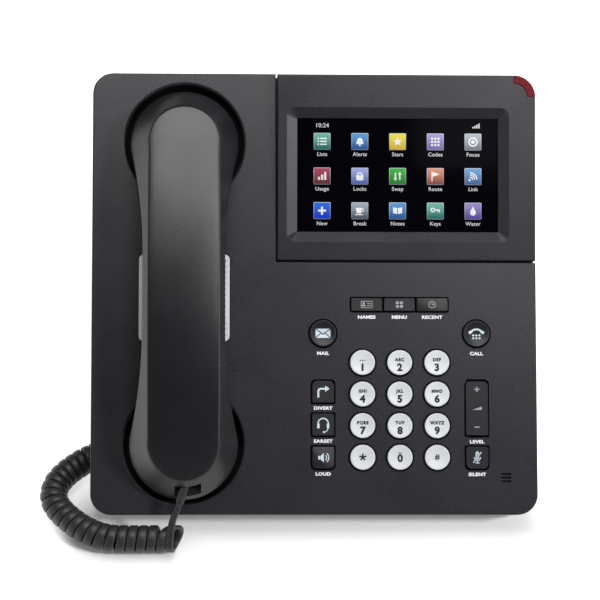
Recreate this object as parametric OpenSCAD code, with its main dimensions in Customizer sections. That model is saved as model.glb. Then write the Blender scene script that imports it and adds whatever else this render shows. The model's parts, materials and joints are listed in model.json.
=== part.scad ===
// Desk telephone: sloping housing, tilting display head, cradled handset, curly cord, folding stand.
// Millimetres, +Z up, +X to the right, +Y away from the user.
// The origin lies on the desk under the middle of the phone.

/* [Housing] */
// Width of the face
body_w = 240.8; // [238.8:0.2:244]
// Height of the face along its slope
body_h = 240; // [239:1:244]
// Depth of the front housing from the face to the joint line
front_d = 13.6; // [13.6:0.2:14.4]
// Depth of the rear pan behind the joint line
rear_d = 12.4; // [12.4:0.2:13.4]
// Corner radius of the outline
corner_r = 11; // [9:0.5:12]
// Radius of the rounded outer edge of the face
edge_r = 0.8; // [0.5:0.1:1.2]
// Wall thickness of the shells
wall = 2.4; // [2.2:0.1:2.5]
// Slope of the face above the desk
face_tilt = 30; // [28:1:32]
// Side taper of the rear pan
pan_side = 8; // [6:0.5:9]
// Height of the flat sole cut into the lower rear edge
sole_cut = 3.9; // [3.5:0.1:4.5]
// Thickness of the rubber feet
foot_t = 2; // [1.5:0.1:2.5]

/* [Handset] */
// Distance of the handset axis from the left edge
hs_from_left = 50; // [49:0.5:51]
// Distance of the centre of a head from the end of the face
hs_inset = 38.7; // [38.2:0.1:39.4]
// Radius of a head at its widest line
hs_head_r = 29.2; // [28.6:0.2:29.6]
// Half width of the grip at its middle
hs_waist = 22.2; // [21:0.2:23]
// Half width of the flat back
hs_flat = 19; // [18.6:0.2:20]
// Height of the back over the face at the middle of the grip
hs_top = 27; // [26:0.5:29]
// Fall of the back from its middle to its ends
hs_arch = 7; // [6:0.5:8]
// Fall of the sloping sides of the back for each millimetre outward
hs_slope = 1.4; // [1.3:0.05:1.5]
// Radius of the handset wells
well_r = 33.6; // [33.4:0.1:34]
// Width of the rounded lip of a well
well_lip = 1.6; // [1.2:0.1:1.8]
// Depth of the handset wells
well_d = 10.2; // [10.1:0.1:10.4]

/* [Display head] */
// Width of the display head
disp_w = 140.6; // [139.6:0.2:141]
// Height of the display head
disp_h = 101.3; // [100.3:0.2:102.3]
// Upward lean of the display head at rest
disp_rake = 4; // [3.5:0.5:5]
// Distance of the upper edge of the head from the end of the face
disp_drop = 0.9; // [0.5:0.1:1.2]
// Gap between the lower edge of the head and the housing
disp_gap = 1.3; // [1.3:0.1:1.6]
// Width of the glass
glass_w = 109.6; // [107:0.2:110]
// Height of the glass
glass_h = 62; // [60:0.2:63]
// Width of the sloping border round the glass
slope_w = 5.7; // [5:0.1:6]
// Depth of the sloping border
slope_d = 3; // [2.6:0.1:3.2]
// Width of the message lamp's band
lamp_w = 4.4; // [4:0.1:4.8]

/* [Keys] */
// Diameter of a dial key
dial_d = 13.4; // [12.8:0.1:13.5]
// Distance between dial columns
dial_dx = 20.1; // [19.5:0.1:20.6]
// Distance between dial rows
dial_dy = 17.05; // [16.95:0.05:17.2]
// Height of the dial keys over the face
dial_h = 1.8; // [1.5:0.1:2.2]
// Diameter of the two round keys
round_d = 14.3; // [14:0.1:14.6]
// Height of the dark keys over the face
dark_h = 1.2; // [1.1:0.1:1.6]
// Side of the square keys
square_w = 11.8; // [11.4:0.1:12]
// Width of one of the three upper keys
bar_w = 16.7; // [16.2:0.1:16.8]
// Travel of a key
key_travel = 1.1; // [0.9:0.1:1.2]

/* [Stand] */
// Height of the stand hinge along the back
stand_y = 176; // [174:1:178]
// Lean of the stand legs from the vertical
stand_lean = 14; // [12:1:16]
// Width of the stand
stand_w = 170; // [166:1:174]
// Width of one stand leg
leg_w = 30; // [26:1:32]
// Thickness of the stand plate
leg_t = 5; // [4.5:0.1:5.2]

/* [Cord] */
// Outer diameter of the coiled cord
coil_d = 15; // [14:0.2:15]
// Thickness of the straight cord
lead_d = 4; // [3.6:0.1:4.2]

/* [Fits] */
// Gap between a key and its hole
key_gap = 0.65; // [0.55:0.05:0.7]
// Gap between pieces that are laid into each other
lay_gap = 0.3; // [0.25:0.05:0.35]
// Gap between a turning pin and its bore
run_gap = 0.08; // [0.06:0.01:0.1]
// Gap of a pin that is pressed home
press_gap = 0.02; // [0.01:0.01:0.03]

/* [Hidden] */
$fn = 48;
eps = 0.01;
far = 400;

body_t = front_d + rear_d;
pan_low = 3;
pan_top = 7;
sn = sin(face_tilt);
cs = cos(face_tilt);
seat_z = foot_t - sole_cut - (pan_low * sn - body_t * cs);
reach = max((body_h - pan_top) * cs + body_t * sn, body_h * cs + front_d * sn);
seat_y = -reach / 2;

deck_t = 2;
deck_z = deck_t - front_d;
seam_x = body_w / 2 - disp_w - 0.7;
seam_y = body_h - disp_drop - disp_h - disp_gap;

hs_x = hs_from_left - body_w / 2;
hs_mid = body_h / 2 - 1.8;
hs_span = body_h - 2 * hs_inset;
hs_hi = hs_mid + hs_span / 2;
hs_lo = hs_mid - hs_span / 2;
hs_half = hs_span / 2;
hs_wall = 2;
hs_cap_r = 24;
hs_cap_waist = 16;
hs_grip_z = 9.5;
ear_in = 5;
mouth_in = 8;
ear_z = -well_d + 0.7;
well_hi = hs_hi + 2.1;
well_lo = hs_lo + 1.2;
cup_t = 2;
ring_h = 3;
ring_r = hs_cap_r + 2.4;

grille_w = 49;
grille_h = 47;
grille_t = 1.5;
grille_y = body_h / 2 - 3;
ledge = 4.5;
hole_dx = 2.4;
hole_dy = 2.3;
hole_r = 0.7;
hole_n = 9;
spk_r = 22.6;
spk_h = 13;

board_z = -12.6;
board_t = 1.6;
mat_t = 1.2;
stem_z = -8;
dome_z = stem_z - key_travel - lay_gap;

pad_y = seam_y / 2;
dial_x = body_w / 2 - 74.4;
dial_y = pad_y - 37.45;
flange_t = 1.1;
flange_z = -wall - lay_gap;
round_y = pad_y + 29.45;
mail_x = dial_x - 41.4;
call_x = dial_x + 41.7;
bar_y = pad_y + 45.15;
bar_h = 6.95;
bar_dx = bar_w + 1.05;
square_x = mail_x;
square_dy = 17.75;
square_y = pad_y - 37.65;
vol_y = pad_y - 10.95;
vol_h = 29.1;
hole_gap = key_gap + 0.2;
stem_r = 3;
skirt = 0.9;

mic_x = body_w / 2 - 17.1;
mic_y = 19.9;
mic_r = 4;
mic_h = 2.4;
slot_w = 5.65;
slot_h = 1.1;
slot_dy = 1.94;

board_left = dial_x - 76.4;
board_right = body_w / 2 - 20;
board_low = 12;
board_high = seam_y - 4.5;
post_r = 3;
post_x = [board_left + 6, board_right - 6];
post_y = [board_low + 6, board_high - 3.5];
mat_left = square_x - 11;
mat_right = call_x + 9.9;
mat_low = square_y - 10.6;
mat_high = bar_y + 10.6;

hinge_in = 3.2;
hinge_dep = 4;
hinge_y = seam_y + disp_gap + hinge_in;
hinge_z = 0.2 - hinge_dep;
hinge_x = [seam_x + 13, body_w / 2 - 12];
disp_pin_r = 1.2;
disp_lug_r = 2;
disp_part = -7.2;
disp_back_z = deck_z + 0.6;
disp_wall = 2;
glass_t = 1.2;
glass_y = disp_h / 2 - 3.95;
glass_x = -4.6;
lamp_r = 11.8;

jack_y = board_high - 14;
jack_x = [dial_x - 74.4, dial_x - 56.4];
net_x = [dial_x - 30.4, dial_x - 6.4];
jack_z = -body_t + 0.4;
jack_w = 11;
net_w = 15.6;
net_h = 15;
net_hole_w = 11.8;
net_hole_h = 8.2;
plug_w = 7.4;
plug_h = 6;
plug_gap = 0.2;

stand_drop = 4.5;
stand_pin_r = 2;
knuckle_r = 4;
knuckle_w = 13;
knuckle_x = stand_w / 2 - 15;
lug_t = 5;
leg_x = (stand_w - leg_w) / 2;

screw_x = body_w / 2 - 14;
screw_spots = [
    [-screw_x, hs_mid - 38], [-screw_x, hs_mid + 42], [screw_x, pad_y - 8], [screw_x, seam_y - 10]
];
screw_r = 1.5;
head_r = 3;
head_h = 2;
sink_d = 4;

foot_w = 34;
foot_l = 8;
foot_x = body_w / 2 - 42;
foot_y = seat_y + 17.4;

hs_plug_x = 1.3;
hs_plug_z = 11.8;
sleeve_turn = 18;
sleeve_l = 10.7;
recess_w = 12.2;
recess_h = 6.6;
sock_w = 15;
sock_l = 14;
sock_h = 8.2;
sock_y = 19;

function to_world(p) = [
    p[0],
    seat_y + p[1] * cs - p[2] * sn,
    seat_z + p[1] * sn + p[2] * cs
];
stand_at = to_world([0, stand_y, -body_t - stand_drop]);

// Places its children, drawn flat with the face at z = 0, on the sloping face.
module on_face() {
    translate([0, seat_y, seat_z]) rotate([face_tilt, 0, 0]) children();
}

// Brings a shape of the desk frame into the flat face frame.
module desk_in_face() {
    rotate([-face_tilt, 0, 0]) translate([0, -seat_y, -seat_z]) children();
}

// Everything below a level over the desk.
module below(level) {
    translate([-far, -far, level - far]) cube([2 * far, 2 * far, far]);
}

// Places its children, drawn flat with the bezel face at z = 0 and its lower edge at y = 0.
module on_display() {
    translate([0, hinge_y, hinge_z]) rotate([disp_rake, 0, 0])
        translate([0, -hinge_in, hinge_dep]) children();
}

// Rectangle with its own corner radii above and below.
module rounded(w, h, rt, rb) {
    translate([-w / 2 + rt, 0]) square([w - 2 * rt, h / 2]);
    translate([-w / 2, 0]) square([w, h / 2 - rt]);
    translate([-w / 2 + rb, -h / 2]) square([w - 2 * rb, h / 2]);
    translate([-w / 2, -h / 2 + rb]) square([w, h / 2 - rb]);
    for (s = [-1, 1]) {
        translate([s * (w / 2 - rt), h / 2 - rt]) circle(rt);
        translate([s * (w / 2 - rb), rb - h / 2]) circle(rb);
    }
}

// Outline of the face, drawn in by a margin.
module outline(m = 0) {
    translate([0, body_h / 2]) rounded(body_w - 2 * m, body_h - 2 * m, corner_r - m, corner_r - m);
}

// Outline without the corner that the display head takes.
module face_plan(m = 0) {
    difference() {
        outline(m);
        translate([seam_x - m, seam_y - m]) square([far, far]);
    }
}

// Corner piece that is taken off a square edge to leave a round one.
module edge_profile(r) {
    difference() {
        translate([-r, -r]) square([r + 1, r + 1]);
        translate([-r, -r]) circle(r);
    }
}

// Rounds a straight edge: phi turns the outward side from +X.
module edge_cut(x, y, phi, length, r) {
    translate([x, y, 0]) rotate([90, 0, phi]) linear_extrude(length) edge_profile(r);
}

// Rounds the edge of an outline corner that starts at the angle phi.
module corner_cut(x, y, phi) {
    translate([x, y, 0]) rotate([0, 0, phi]) rotate_extrude(angle = 90)
        translate([corner_r, 0]) edge_profile(edge_r);
}

module face_edges() {
    w = body_w / 2;
    c = corner_r;
    edge_cut(w - c, 0, -90, body_w - 2 * c, edge_r);
    edge_cut(-w, c, 180, body_h - 2 * c, edge_r);
    edge_cut(w, seam_y, 0, seam_y - c, edge_r);
    edge_cut(c - w, body_h, 90, seam_x + w - c, edge_r);
    edge_cut(seam_x, body_h, 0, body_h - seam_y, edge_r / 2);
    edge_cut(seam_x, seam_y, 90, w - seam_x, edge_r / 2);
    corner_cut(c - w, c, 180);
    corner_cut(w - c, c, 270);
    corner_cut(c - w, body_h - c, 90);
}

module well_places() {
    for (y = [well_hi, well_lo]) translate([hs_x, y, 0]) children();
}

module dial_places() {
    for (r = [0:3]) for (c = [-1:1]) translate([dial_x + c * dial_dx, dial_y + r * dial_dy, 0]) children();
}

module screw_places() {
    for (p = screw_spots) translate([p[0], p[1], 0]) children();
}

// Holes for the keys, through the face.
module key_holes() {
    translate([0, 0, -wall - 1]) {
        dial_places() cylinder(d = dial_d + 2 * key_gap, h = wall + 2);
        for (x = [mail_x, call_x]) translate([x, round_y, 0])
            cylinder(d = round_d + 2 * hole_gap, h = wall + 2);
        linear_extrude(wall + 2) {
            translate([dial_x, bar_y])
                rounded(2 * bar_dx + bar_w + 2 * hole_gap, bar_h + 2 * hole_gap, 1.6, 1.6);
            for (i = [0:2]) translate([square_x, square_y + i * square_dy]) square_plan(i, hole_gap);
            translate([call_x, square_y]) square_plan(0, hole_gap);
            translate([call_x, vol_y]) rounded(square_w + 2 * hole_gap, vol_h + 2.5, 2.7, 0.8);
        }
    }
}

// Plan of a square key: the lowest has round lower corners, the highest round upper ones.
module square_plan(place, grow) {
    s = square_w + 2 * grow;
    rounded(s, s, place == 2 ? 2.7 : 0.8, place == 0 ? 2.7 : 0.8);
}

// Hollow of a handset well with its rounded lip.
module well_cut() {
    rotate_extrude($fn = 72) {
        translate([0, -well_d]) square([well_r - well_lip, well_d + 5]);
        difference() {
            translate([0, -well_lip]) square([well_r, well_lip + 5]);
            translate([well_r, -well_lip]) circle(well_lip);
        }
    }
}

// Half ring on the floor of a well that keeps a head in its place.
module rest_rib(s) {
    difference() {
        cylinder(r = ring_r + 2, h = ring_h);
        translate([0, 0, -1]) cylinder(r = ring_r, h = ring_h + 2);
        translate([-far / 2, s > 0 ? -far : 0, -1]) cube([far, far, ring_h + 2]);
    }
}

module front_housing() color([0.2, 0.2, 0.22]) on_face() {
    difference() {
        union() {
            difference() {
                union() {
                    translate([0, 0, -front_d]) linear_extrude(front_d) face_plan();
                    translate([0, 0, -front_d]) linear_extrude(deck_t) outline();
                }
                face_edges();
                translate([0, 0, -front_d - 1]) linear_extrude(front_d + 1 - wall) face_plan(wall);
            }
            translate([0, 0, -well_d - cup_t]) well_places()
                cylinder(r = well_r + cup_t, h = well_d + cup_t - 1);
            translate([0, 0, -front_d]) screw_places() cylinder(r = 3.4, h = front_d - 1);
        }
        well_places() well_cut();
        key_holes();
        translate([hs_x, grille_y, -grille_t]) linear_extrude(5) rounded(grille_w + 1, grille_h + 1, 3, 3);
        translate([hs_x, grille_y, -wall - 1]) linear_extrude(5)
            rounded(grille_w - 2 * ledge, grille_h - 2 * ledge, 2, 2);
        for (i = [-1:1]) translate([mic_x, mic_y + i * slot_dy, -wall - 1]) linear_extrude(5)
            rounded(slot_w, slot_h, 0.5, 0.5);
        translate([hs_x, hs_hi + 15, -well_d - 5]) cylinder(r = 3 + run_gap, h = 10);
        translate([0, 0, -front_d - 1]) screw_places() cylinder(r = screw_r + 0.05, h = 9);
        translate([seam_x, seam_y, deck_z]) cube([far, far, far]);
    }
    for (s = [-1, 1]) translate([hs_x, hs_mid + s * hs_half, -well_d - eps]) rest_rib(s);
    for (x = hinge_x) translate([x, hinge_y, 0]) difference() {
        union() {
            translate([-2.5, -disp_lug_r, deck_z - eps]) cube([5, 2 * disp_lug_r, hinge_z - deck_z]);
            translate([-2.5, 0, hinge_z]) rotate([0, 90, 0]) cylinder(r = disp_lug_r, h = 5);
        }
        translate([-5, 0, hinge_z]) rotate([0, 90, 0]) cylinder(r = disp_pin_r + run_gap, h = 10);
    }
}

// Plan of the rear pan at its back, drawn in by a margin.
module pan_plan(m = 0) {
    h = body_h - pan_low - pan_top;
    w = body_w - 2 * pan_side;
    translate([0, pan_low + h / 2]) rounded(w - 2 * m, h - 2 * m, corner_r - m, corner_r - m);
}

module rear_pan() color([0.17, 0.17, 0.19]) on_face() {
    difference() {
        union() {
            difference() {
                hull() {
                    translate([0, 0, -front_d - 0.1]) linear_extrude(0.1) outline();
                    translate([0, 0, -body_t]) linear_extrude(0.1) pan_plan();
                }
                difference() {
                    hull() {
                        translate([0, 0, -front_d]) linear_extrude(0.1) outline(wall);
                        translate([0, 0, wall - body_t]) linear_extrude(0.1) pan_plan(wall);
                    }
                    desk_in_face() below(foot_t + wall);
                }
            }
            translate([0, 0, wall - body_t - eps]) {
                screw_places() cylinder(r = 5, h = rear_d - wall + eps);
                for (x = post_x) for (y = post_y) translate([x, y, 0])
                    cylinder(r = post_r, h = board_z - board_t + body_t - wall + eps);
            }
        }
        desk_in_face() below(foot_t);
        screw_places() translate([0, 0, -body_t - 1]) {
            cylinder(r = screw_r + 0.2, h = body_t);
            cylinder(r = head_r + 0.4, h = 1 + sink_d + head_h);
        }
        for (x = jack_x) translate([x, jack_y, -body_t])
            cube([jack_w + 2 * plug_gap, jack_w + 2 * plug_gap, 3 * wall], center = true);
        for (x = net_x) translate([x, jack_y, -body_t])
            cube([net_w + 2 * plug_gap, net_h + 2 * plug_gap, 3 * wall], center = true);
        for (i = [0:5]) translate([0, stand_y + 20 + i * 5, -body_t - 1]) linear_extrude(wall + 2)
            rounded(90, 1.8, 0.8, 0.8);
    }
    for (s = [-1, 1]) for (e = [-1, 1])
        translate([s * knuckle_x + e * (knuckle_w / 2 + 0.5 + lug_t / 2), stand_y, -body_t]) stand_lug();
}

// Ear that carries one end of a stand pin.
module stand_lug() {
    difference() {
        union() {
            translate([-lug_t / 2, -knuckle_r, -stand_drop]) cube([lug_t, 2 * knuckle_r, stand_drop + eps]);
            translate([-lug_t / 2, 0, -stand_drop]) rotate([0, 90, 0]) cylinder(r = knuckle_r, h = lug_t);
        }
        translate([-lug_t, 0, -stand_drop]) rotate([0, 90, 0])
            cylinder(r = stand_pin_r + run_gap, h = 2 * lug_t);
    }
}

module case_screws() color([0.6, 0.6, 0.62]) on_face() screw_places() {
    translate([0, 0, sink_d + head_h - body_t]) cylinder(r = screw_r, h = rear_d);
    difference() {
        translate([0, 0, sink_d - body_t]) cylinder(r = head_r, h = head_h);
        for (a = [0, 90]) rotate([0, 0, a]) translate([-1.8, -0.4, sink_d - 1 - body_t])
            cube([3.6, 0.8, head_h]);
    }
}

// Rubber feet under the flat sole of the rear pan.
module base_feet() color([0.09, 0.09, 0.09]) for (s = [-1, 1])
    translate([s * foot_x, foot_y, foot_t / 2]) cube([foot_w, foot_l, foot_t], center = true);

// Pale panel over the loudspeaker, with staggered rows of holes.
module speaker_grille() color([0.85, 0.85, 0.85]) on_face() translate([hs_x, grille_y, -grille_t])
    linear_extrude(grille_t) difference() {
        rounded(grille_w, grille_h, 2.6, 2.6);
        for (r = [-hole_n:hole_n]) for (c = [-hole_n:hole_n])
            translate([c * hole_dx + (r % 2 == 0 ? 0 : hole_dx / 2), r * hole_dy]) circle(hole_r);
    }

module loudspeaker() color([0.12, 0.12, 0.12]) on_face() translate([hs_x, grille_y, -wall]) rotate_extrude()
    polygon([
        [0, -0.38 * spk_h], [0.27 * spk_r, -0.32 * spk_h], [0.84 * spk_r, -0.07 * spk_h], [0.86 * spk_r, 0],
        [spk_r, 0], [spk_r, -0.11 * spk_h], [0.87 * spk_r, -0.17 * spk_h], [0.57 * spk_r, -0.5 * spk_h],
        [0.57 * spk_r, -spk_h], [0, -spk_h]
    ]);

module handsfree_mic() color([0.1, 0.1, 0.1]) on_face() translate([mic_x, mic_y, -wall - mic_h])
    cylinder(r = mic_r, h = mic_h);

module main_board() color([0.05, 0.28, 0.14]) on_face() translate([0, 0, board_z - board_t])
    linear_extrude(board_t) difference() {
        translate([board_left, board_low]) square([board_right - board_left, board_high - board_low]);
        translate([mic_x - 2 * mic_r, board_low - 2]) square([4 * mic_r, mic_y + mic_r + 4 - board_low]);
    }

module key_mat() color([0.3, 0.3, 0.32]) on_face() {
    translate([mat_left, mat_low, board_z]) cube([mat_right - mat_left, mat_high - mat_low, mat_t]);
    translate([0, 0, board_z + mat_t - eps]) {
        h = dome_z - board_z - mat_t + eps;
        dial_places() cylinder(r = stem_r + 0.2, h = h);
        for (x = [mail_x, call_x]) translate([x, round_y, 0]) cylinder(r = stem_r + 0.2, h = h);
        for (i = [-1:1]) translate([dial_x + i * bar_dx, bar_y, 0]) cylinder(r = stem_r + 0.2, h = h);
        for (i = [0:2]) translate([square_x, square_y + i * square_dy, 0]) cylinder(r = stem_r + 0.2, h = h);
        translate([call_x, square_y, 0]) cylinder(r = stem_r + 0.2, h = h);
        for (s = [-1, 1]) translate([call_x, vol_y + s * 10, 0]) cylinder(r = stem_r + 0.2, h = h);
    }
}

// Plunger that the resting handset holds down.
module hook_plunger() color([0.13, 0.13, 0.14]) on_face() translate([hs_x, hs_hi + 15, 0]) {
    translate([0, 0, -18]) cylinder(r = 3, h = 18 + ear_z - lay_gap);
    translate([0, 0, -18]) cylinder(r = 4.6, h = 1.4);
}

// Body of a socket that opens to the back, between the board and the rear pan.
module socket(w, h, hole_w, hole_h) {
    top = board_z - board_t;
    difference() {
        translate([-w / 2, -h / 2, jack_z]) cube([w, h, top - jack_z]);
        translate([-hole_w / 2, -hole_h / 2, jack_z - 1]) cube([hole_w, hole_h, top - jack_z - 0.4]);
    }
}

module cord_sockets() color([0.08, 0.08, 0.08]) on_face()
    for (x = jack_x) translate([x, jack_y, 0])
        socket(jack_w, jack_w, plug_w + 2 * plug_gap, plug_h + 2 * plug_gap);

module network_sockets() color([0.08, 0.08, 0.08]) on_face()
    for (x = net_x) translate([x, jack_y, 0]) difference() {
        socket(net_w, net_h, net_hole_w, net_hole_h);
        translate([-3, 4, jack_z - 1]) cube([6, 2.4, 9]);
    }

// Plan of the display head, drawn in by a margin.
module disp_plan(m = 0) {
    x0 = body_w / 2 - disp_w + m;
    x1 = body_w / 2 - m;
    r = lamp_r - m;
    translate([x0, m]) square([x1 - x0 - r, disp_h - 2 * m]);
    translate([x0, m]) square([x1 - x0, disp_h - 2 * m - r]);
    translate([x1 - r, disp_h - m - r]) circle(r);
}

// Band of the message lamp, grown by a gap.
module lamp_band(gap, top) {
    translate([body_w / 2 - lamp_r, disp_h - lamp_r, disp_part]) rotate_extrude(angle = 90)
        translate([lamp_r - lamp_w - gap, 0]) square([lamp_w + 2 * gap, top - disp_part]);
}

// Sloping recess down to the glass.
module slope_cut() {
    translate([body_w / 2 - disp_w / 2 + glass_x, glass_y, 0]) hull() {
        translate([0, 0, -slope_d]) linear_extrude(0.02) rounded(glass_w, glass_h, 0.8, 0.8);
        translate([0, 0, eps]) linear_extrude(0.02)
            rounded(glass_w + 2 * slope_w, glass_h + 2 * slope_w, 5, 5);
    }
}

module hinge_slots() {
    for (x = hinge_x) translate([x - 2.8, -1, -20]) cube([5.6, 8.4, 18.2]);
}

module bezel_edges() {
    x1 = body_w / 2;
    x0 = x1 - disp_w;
    edge_cut(x1 + 1, 0, -90, disp_w + 2, edge_r);
    edge_cut(x0, -1, 180, disp_h + 2, edge_r);
    edge_cut(x1, disp_h - lamp_r, 0, disp_h - lamp_r + 1, edge_r);
    edge_cut(x0 - 1, disp_h, 90, disp_w - lamp_r + 1, edge_r);
}

module display_bezel() color([0.22, 0.22, 0.24]) on_face() on_display() {
    gx = body_w / 2 - disp_w / 2 + glass_x;
    difference() {
        union() {
            difference() {
                translate([0, 0, disp_part]) linear_extrude(-disp_part) disp_plan();
                translate([0, 0, disp_part - 1]) linear_extrude(1 - disp_part - disp_wall)
                    disp_plan(disp_wall);
            }
            translate([gx, glass_y, -slope_d - 1.2]) linear_extrude(slope_d)
                square([glass_w + 2 * slope_w + 3, glass_h + 2 * slope_w + 3], center = true);
            for (x = hinge_x) translate([x - 9, 0.5, -6.4]) cube([18, 5.9, 6]);
            intersection() {
                translate([body_w / 2 - lamp_r, disp_h - lamp_r, disp_part])
                    cylinder(r = lamp_r - lamp_w, h = -disp_part);
                translate([0, 0, disp_part]) linear_extrude(-disp_part) disp_plan();
            }
        }
        bezel_edges();
        slope_cut();
        translate([gx, glass_y, -20]) linear_extrude(20) square([glass_w, glass_h], center = true);
        lamp_band(0.15, 2);
        hinge_slots();
        for (x = hinge_x) translate([x - 20, hinge_in, -hinge_dep]) rotate([0, 90, 0])
            cylinder(r = disp_pin_r + press_gap, h = 40);
    }
}

module display_back() color([0.18, 0.18, 0.2]) on_face() difference() {
    intersection() {
        on_display() translate([0, 0, -30]) linear_extrude(30 + disp_part) disp_plan();
        translate([-far, -far, disp_back_z]) cube([2 * far, 2 * far, far]);
    }
    intersection() {
        on_display() translate([0, 0, -30]) linear_extrude(40) disp_plan(disp_wall);
        translate([-far, -far, disp_back_z + 1.4]) cube([2 * far, 2 * far, far]);
    }
    on_display() hinge_slots();
    translate([0, seam_y + disp_gap - 0.5, disp_back_z]) rotate([45, 0, 0])
        cube([far, 4.2, 4.2], center = true);
}

module display_glass() color([0.01, 0.01, 0.015]) on_face() on_display()
    translate([body_w / 2 - disp_w / 2 + glass_x, glass_y, -slope_d - 1.2 - glass_t]) linear_extrude(glass_t)
        square([glass_w + 6, glass_h + 6], center = true);

module display_panel() color([0.35, 0.36, 0.38]) on_face() on_display()
    translate([body_w / 2 - disp_w / 2 + glass_x, glass_y, -slope_d - 4.4 - glass_t]) linear_extrude(3.2)
        square([glass_w + 8, glass_h + 8], center = true);

module display_pins() color([0.7, 0.7, 0.72]) on_face() on_display() for (x = hinge_x)
    translate([x - 8.5, hinge_in, -hinge_dep]) rotate([0, 90, 0]) cylinder(r = disp_pin_r, h = 17);

module message_lamp() color([0.6, 0.05, 0.08]) on_face() on_display() lamp_band(0, 0.4);

// Guide and foot of a key below the face.
module key_foot(plan_r) {
    translate([0, 0, flange_z - flange_t]) cylinder(r = plan_r, h = flange_t);
    translate([0, 0, stem_z]) cylinder(r = stem_r, h = flange_z - stem_z);
}

// Round cap with a narrow rim round a shallow dish.
module dished_cap(d, top, rim, depth) {
    reach_r = d / 2 - rim;
    dish_r = (reach_r * reach_r + depth * depth) / (2 * depth);
    difference() {
        translate([0, 0, flange_z - eps]) cylinder(d = d, h = top - flange_z + eps);
        translate([0, 0, top - depth + dish_r]) sphere(dish_r);
    }
}

// Pale round key of the dial.
module dial_key(c, r) color([0.86, 0.87, 0.88]) on_face()
    translate([dial_x + c * dial_dx, dial_y + r * dial_dy, 0]) {
        dished_cap(dial_d, dial_h, 0.8, 0.35);
        key_foot(dial_d / 2 + key_gap + skirt);
    }

// Dark round key with a deeper dish.
module round_key(x) color([0.16, 0.16, 0.17]) on_face() translate([x, round_y, 0]) {
    dished_cap(round_d, dark_h + 0.4, 0.6, 0.9);
    key_foot(round_d / 2 + hole_gap + skirt);
}

// One of the three wide keys in the upper row.
module bar_key(i) color([0.16, 0.16, 0.17]) on_face() translate([dial_x + i * bar_dx, bar_y, 0]) {
    translate([0, 0, flange_z - eps]) linear_extrude(dark_h - flange_z) rounded(bar_w, bar_h, 0.8, 0.8);
    translate([0, 0, flange_z - flange_t]) linear_extrude(flange_t)
        square([bar_w + 0.4, bar_h + 2 * hole_gap + 2], center = true);
    translate([0, 0, stem_z]) cylinder(r = stem_r, h = flange_z - stem_z);
}

// Square dark key at a place in its column.
module square_key(x, i, place) color([0.16, 0.16, 0.17]) on_face()
    translate([x, square_y + i * square_dy, 0]) {
        translate([0, 0, flange_z - eps]) linear_extrude(dark_h - flange_z) square_plan(place, 0);
        translate([0, 0, flange_z - flange_t]) linear_extrude(flange_t)
            square(square_w + 2 * hole_gap + 2 * skirt, center = true);
        translate([0, 0, stem_z]) cylinder(r = stem_r, h = flange_z - stem_z);
    }

module key_1() dial_key(-1, 3);
module key_2() dial_key(0, 3);
module key_3() dial_key(1, 3);
module key_4() dial_key(-1, 2);
module key_5() dial_key(0, 2);
module key_6() dial_key(1, 2);
module key_7() dial_key(-1, 1);
module key_8() dial_key(0, 1);
module key_9() dial_key(1, 1);
module key_star() dial_key(-1, 0);
module key_0() dial_key(0, 0);
module key_hash() dial_key(1, 0);
module key_names() bar_key(-1);
module key_menu() bar_key(0);
module key_recent() bar_key(1);
module key_mail() round_key(mail_x);
module key_call() round_key(call_x);
module key_divert() square_key(square_x, 2, 2);
module key_earset() square_key(square_x, 1, 1);
module key_loud() square_key(square_x, 0, 0);
module key_silent() square_key(call_x, 0, 0);

// Rocker that tips about a cross pin under the face.
module key_level() color([0.16, 0.16, 0.17]) on_face() translate([call_x, vol_y, 0]) {
    translate([0, 0, -4.4]) linear_extrude(dark_h + 4.4) rounded(square_w, vol_h, 2.6, 0.8);
    translate([-square_w / 2 - 2, 0, flange_z - 0.9]) rotate([0, 90, 0]) cylinder(r = 0.8, h = square_w + 4);
    for (s = [-1, 1]) translate([0, s * 10, stem_z]) cylinder(r = 1.5, h = 5);
}

// Heights of the handset over the face, by the distance v from the middle of the grip.
function hs_back(v) = hs_top - hs_arch * pow(v / (hs_half + hs_flat), 2);
function hs_under(v) = hs_grip_z - (hs_grip_z - ear_z) * pow(min(1, abs(v) / (hs_half - 12)), 4.5);

// Half width between the heads at a distance below the end of a head's arc.
function hs_neck(d, head, waist) =
    waist + (head * cos(head_turn) - waist) * pow(max(0, 1 - d / neck_len), 2.1);

// Right-hand side of a plan of the handset, from the upper end to the lower one.
head_n = 10;
neck_n = 26;
head_turn = 8;
neck_len = 0.73 * hs_half;
function hs_side(head, waist) = let(drop = head * sin(head_turn), run = hs_span - 2 * drop) concat(
    [for (i = [1:head_n]) let(a = 90 - (90 + head_turn) * i / head_n)
        [head * cos(a), hs_half + head * sin(a)]],
    [for (j = [1:neck_n - 1]) let(d = run * j / neck_n)
        [hs_neck(min(d, run - d), head, waist), hs_half - drop - d]],
    [for (i = [0:head_n - 1]) let(a = head_turn - (90 + head_turn) * i / head_n)
        [head * cos(a), head * sin(a) - hs_half]]
);

// Closed plan, clockwise from the upper end.
function hs_plan(head, waist) = let(s = hs_side(head, waist), n = len(s)) concat(
    [[0, hs_half + head]], s, [[0, -hs_half - head]], [for (i = [n - 1:-1:0]) [-s[i][0], s[i][1]]]
);

// Shares of the way outward and upward at a step k of 0 to 1, partly straight and partly round.
function swell_in(k) = 0.5 * k + 0.5 * (1 - cos(90 * k));
function swell_up(k) = 0.5 * k + 0.5 * sin(90 * k);

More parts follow.
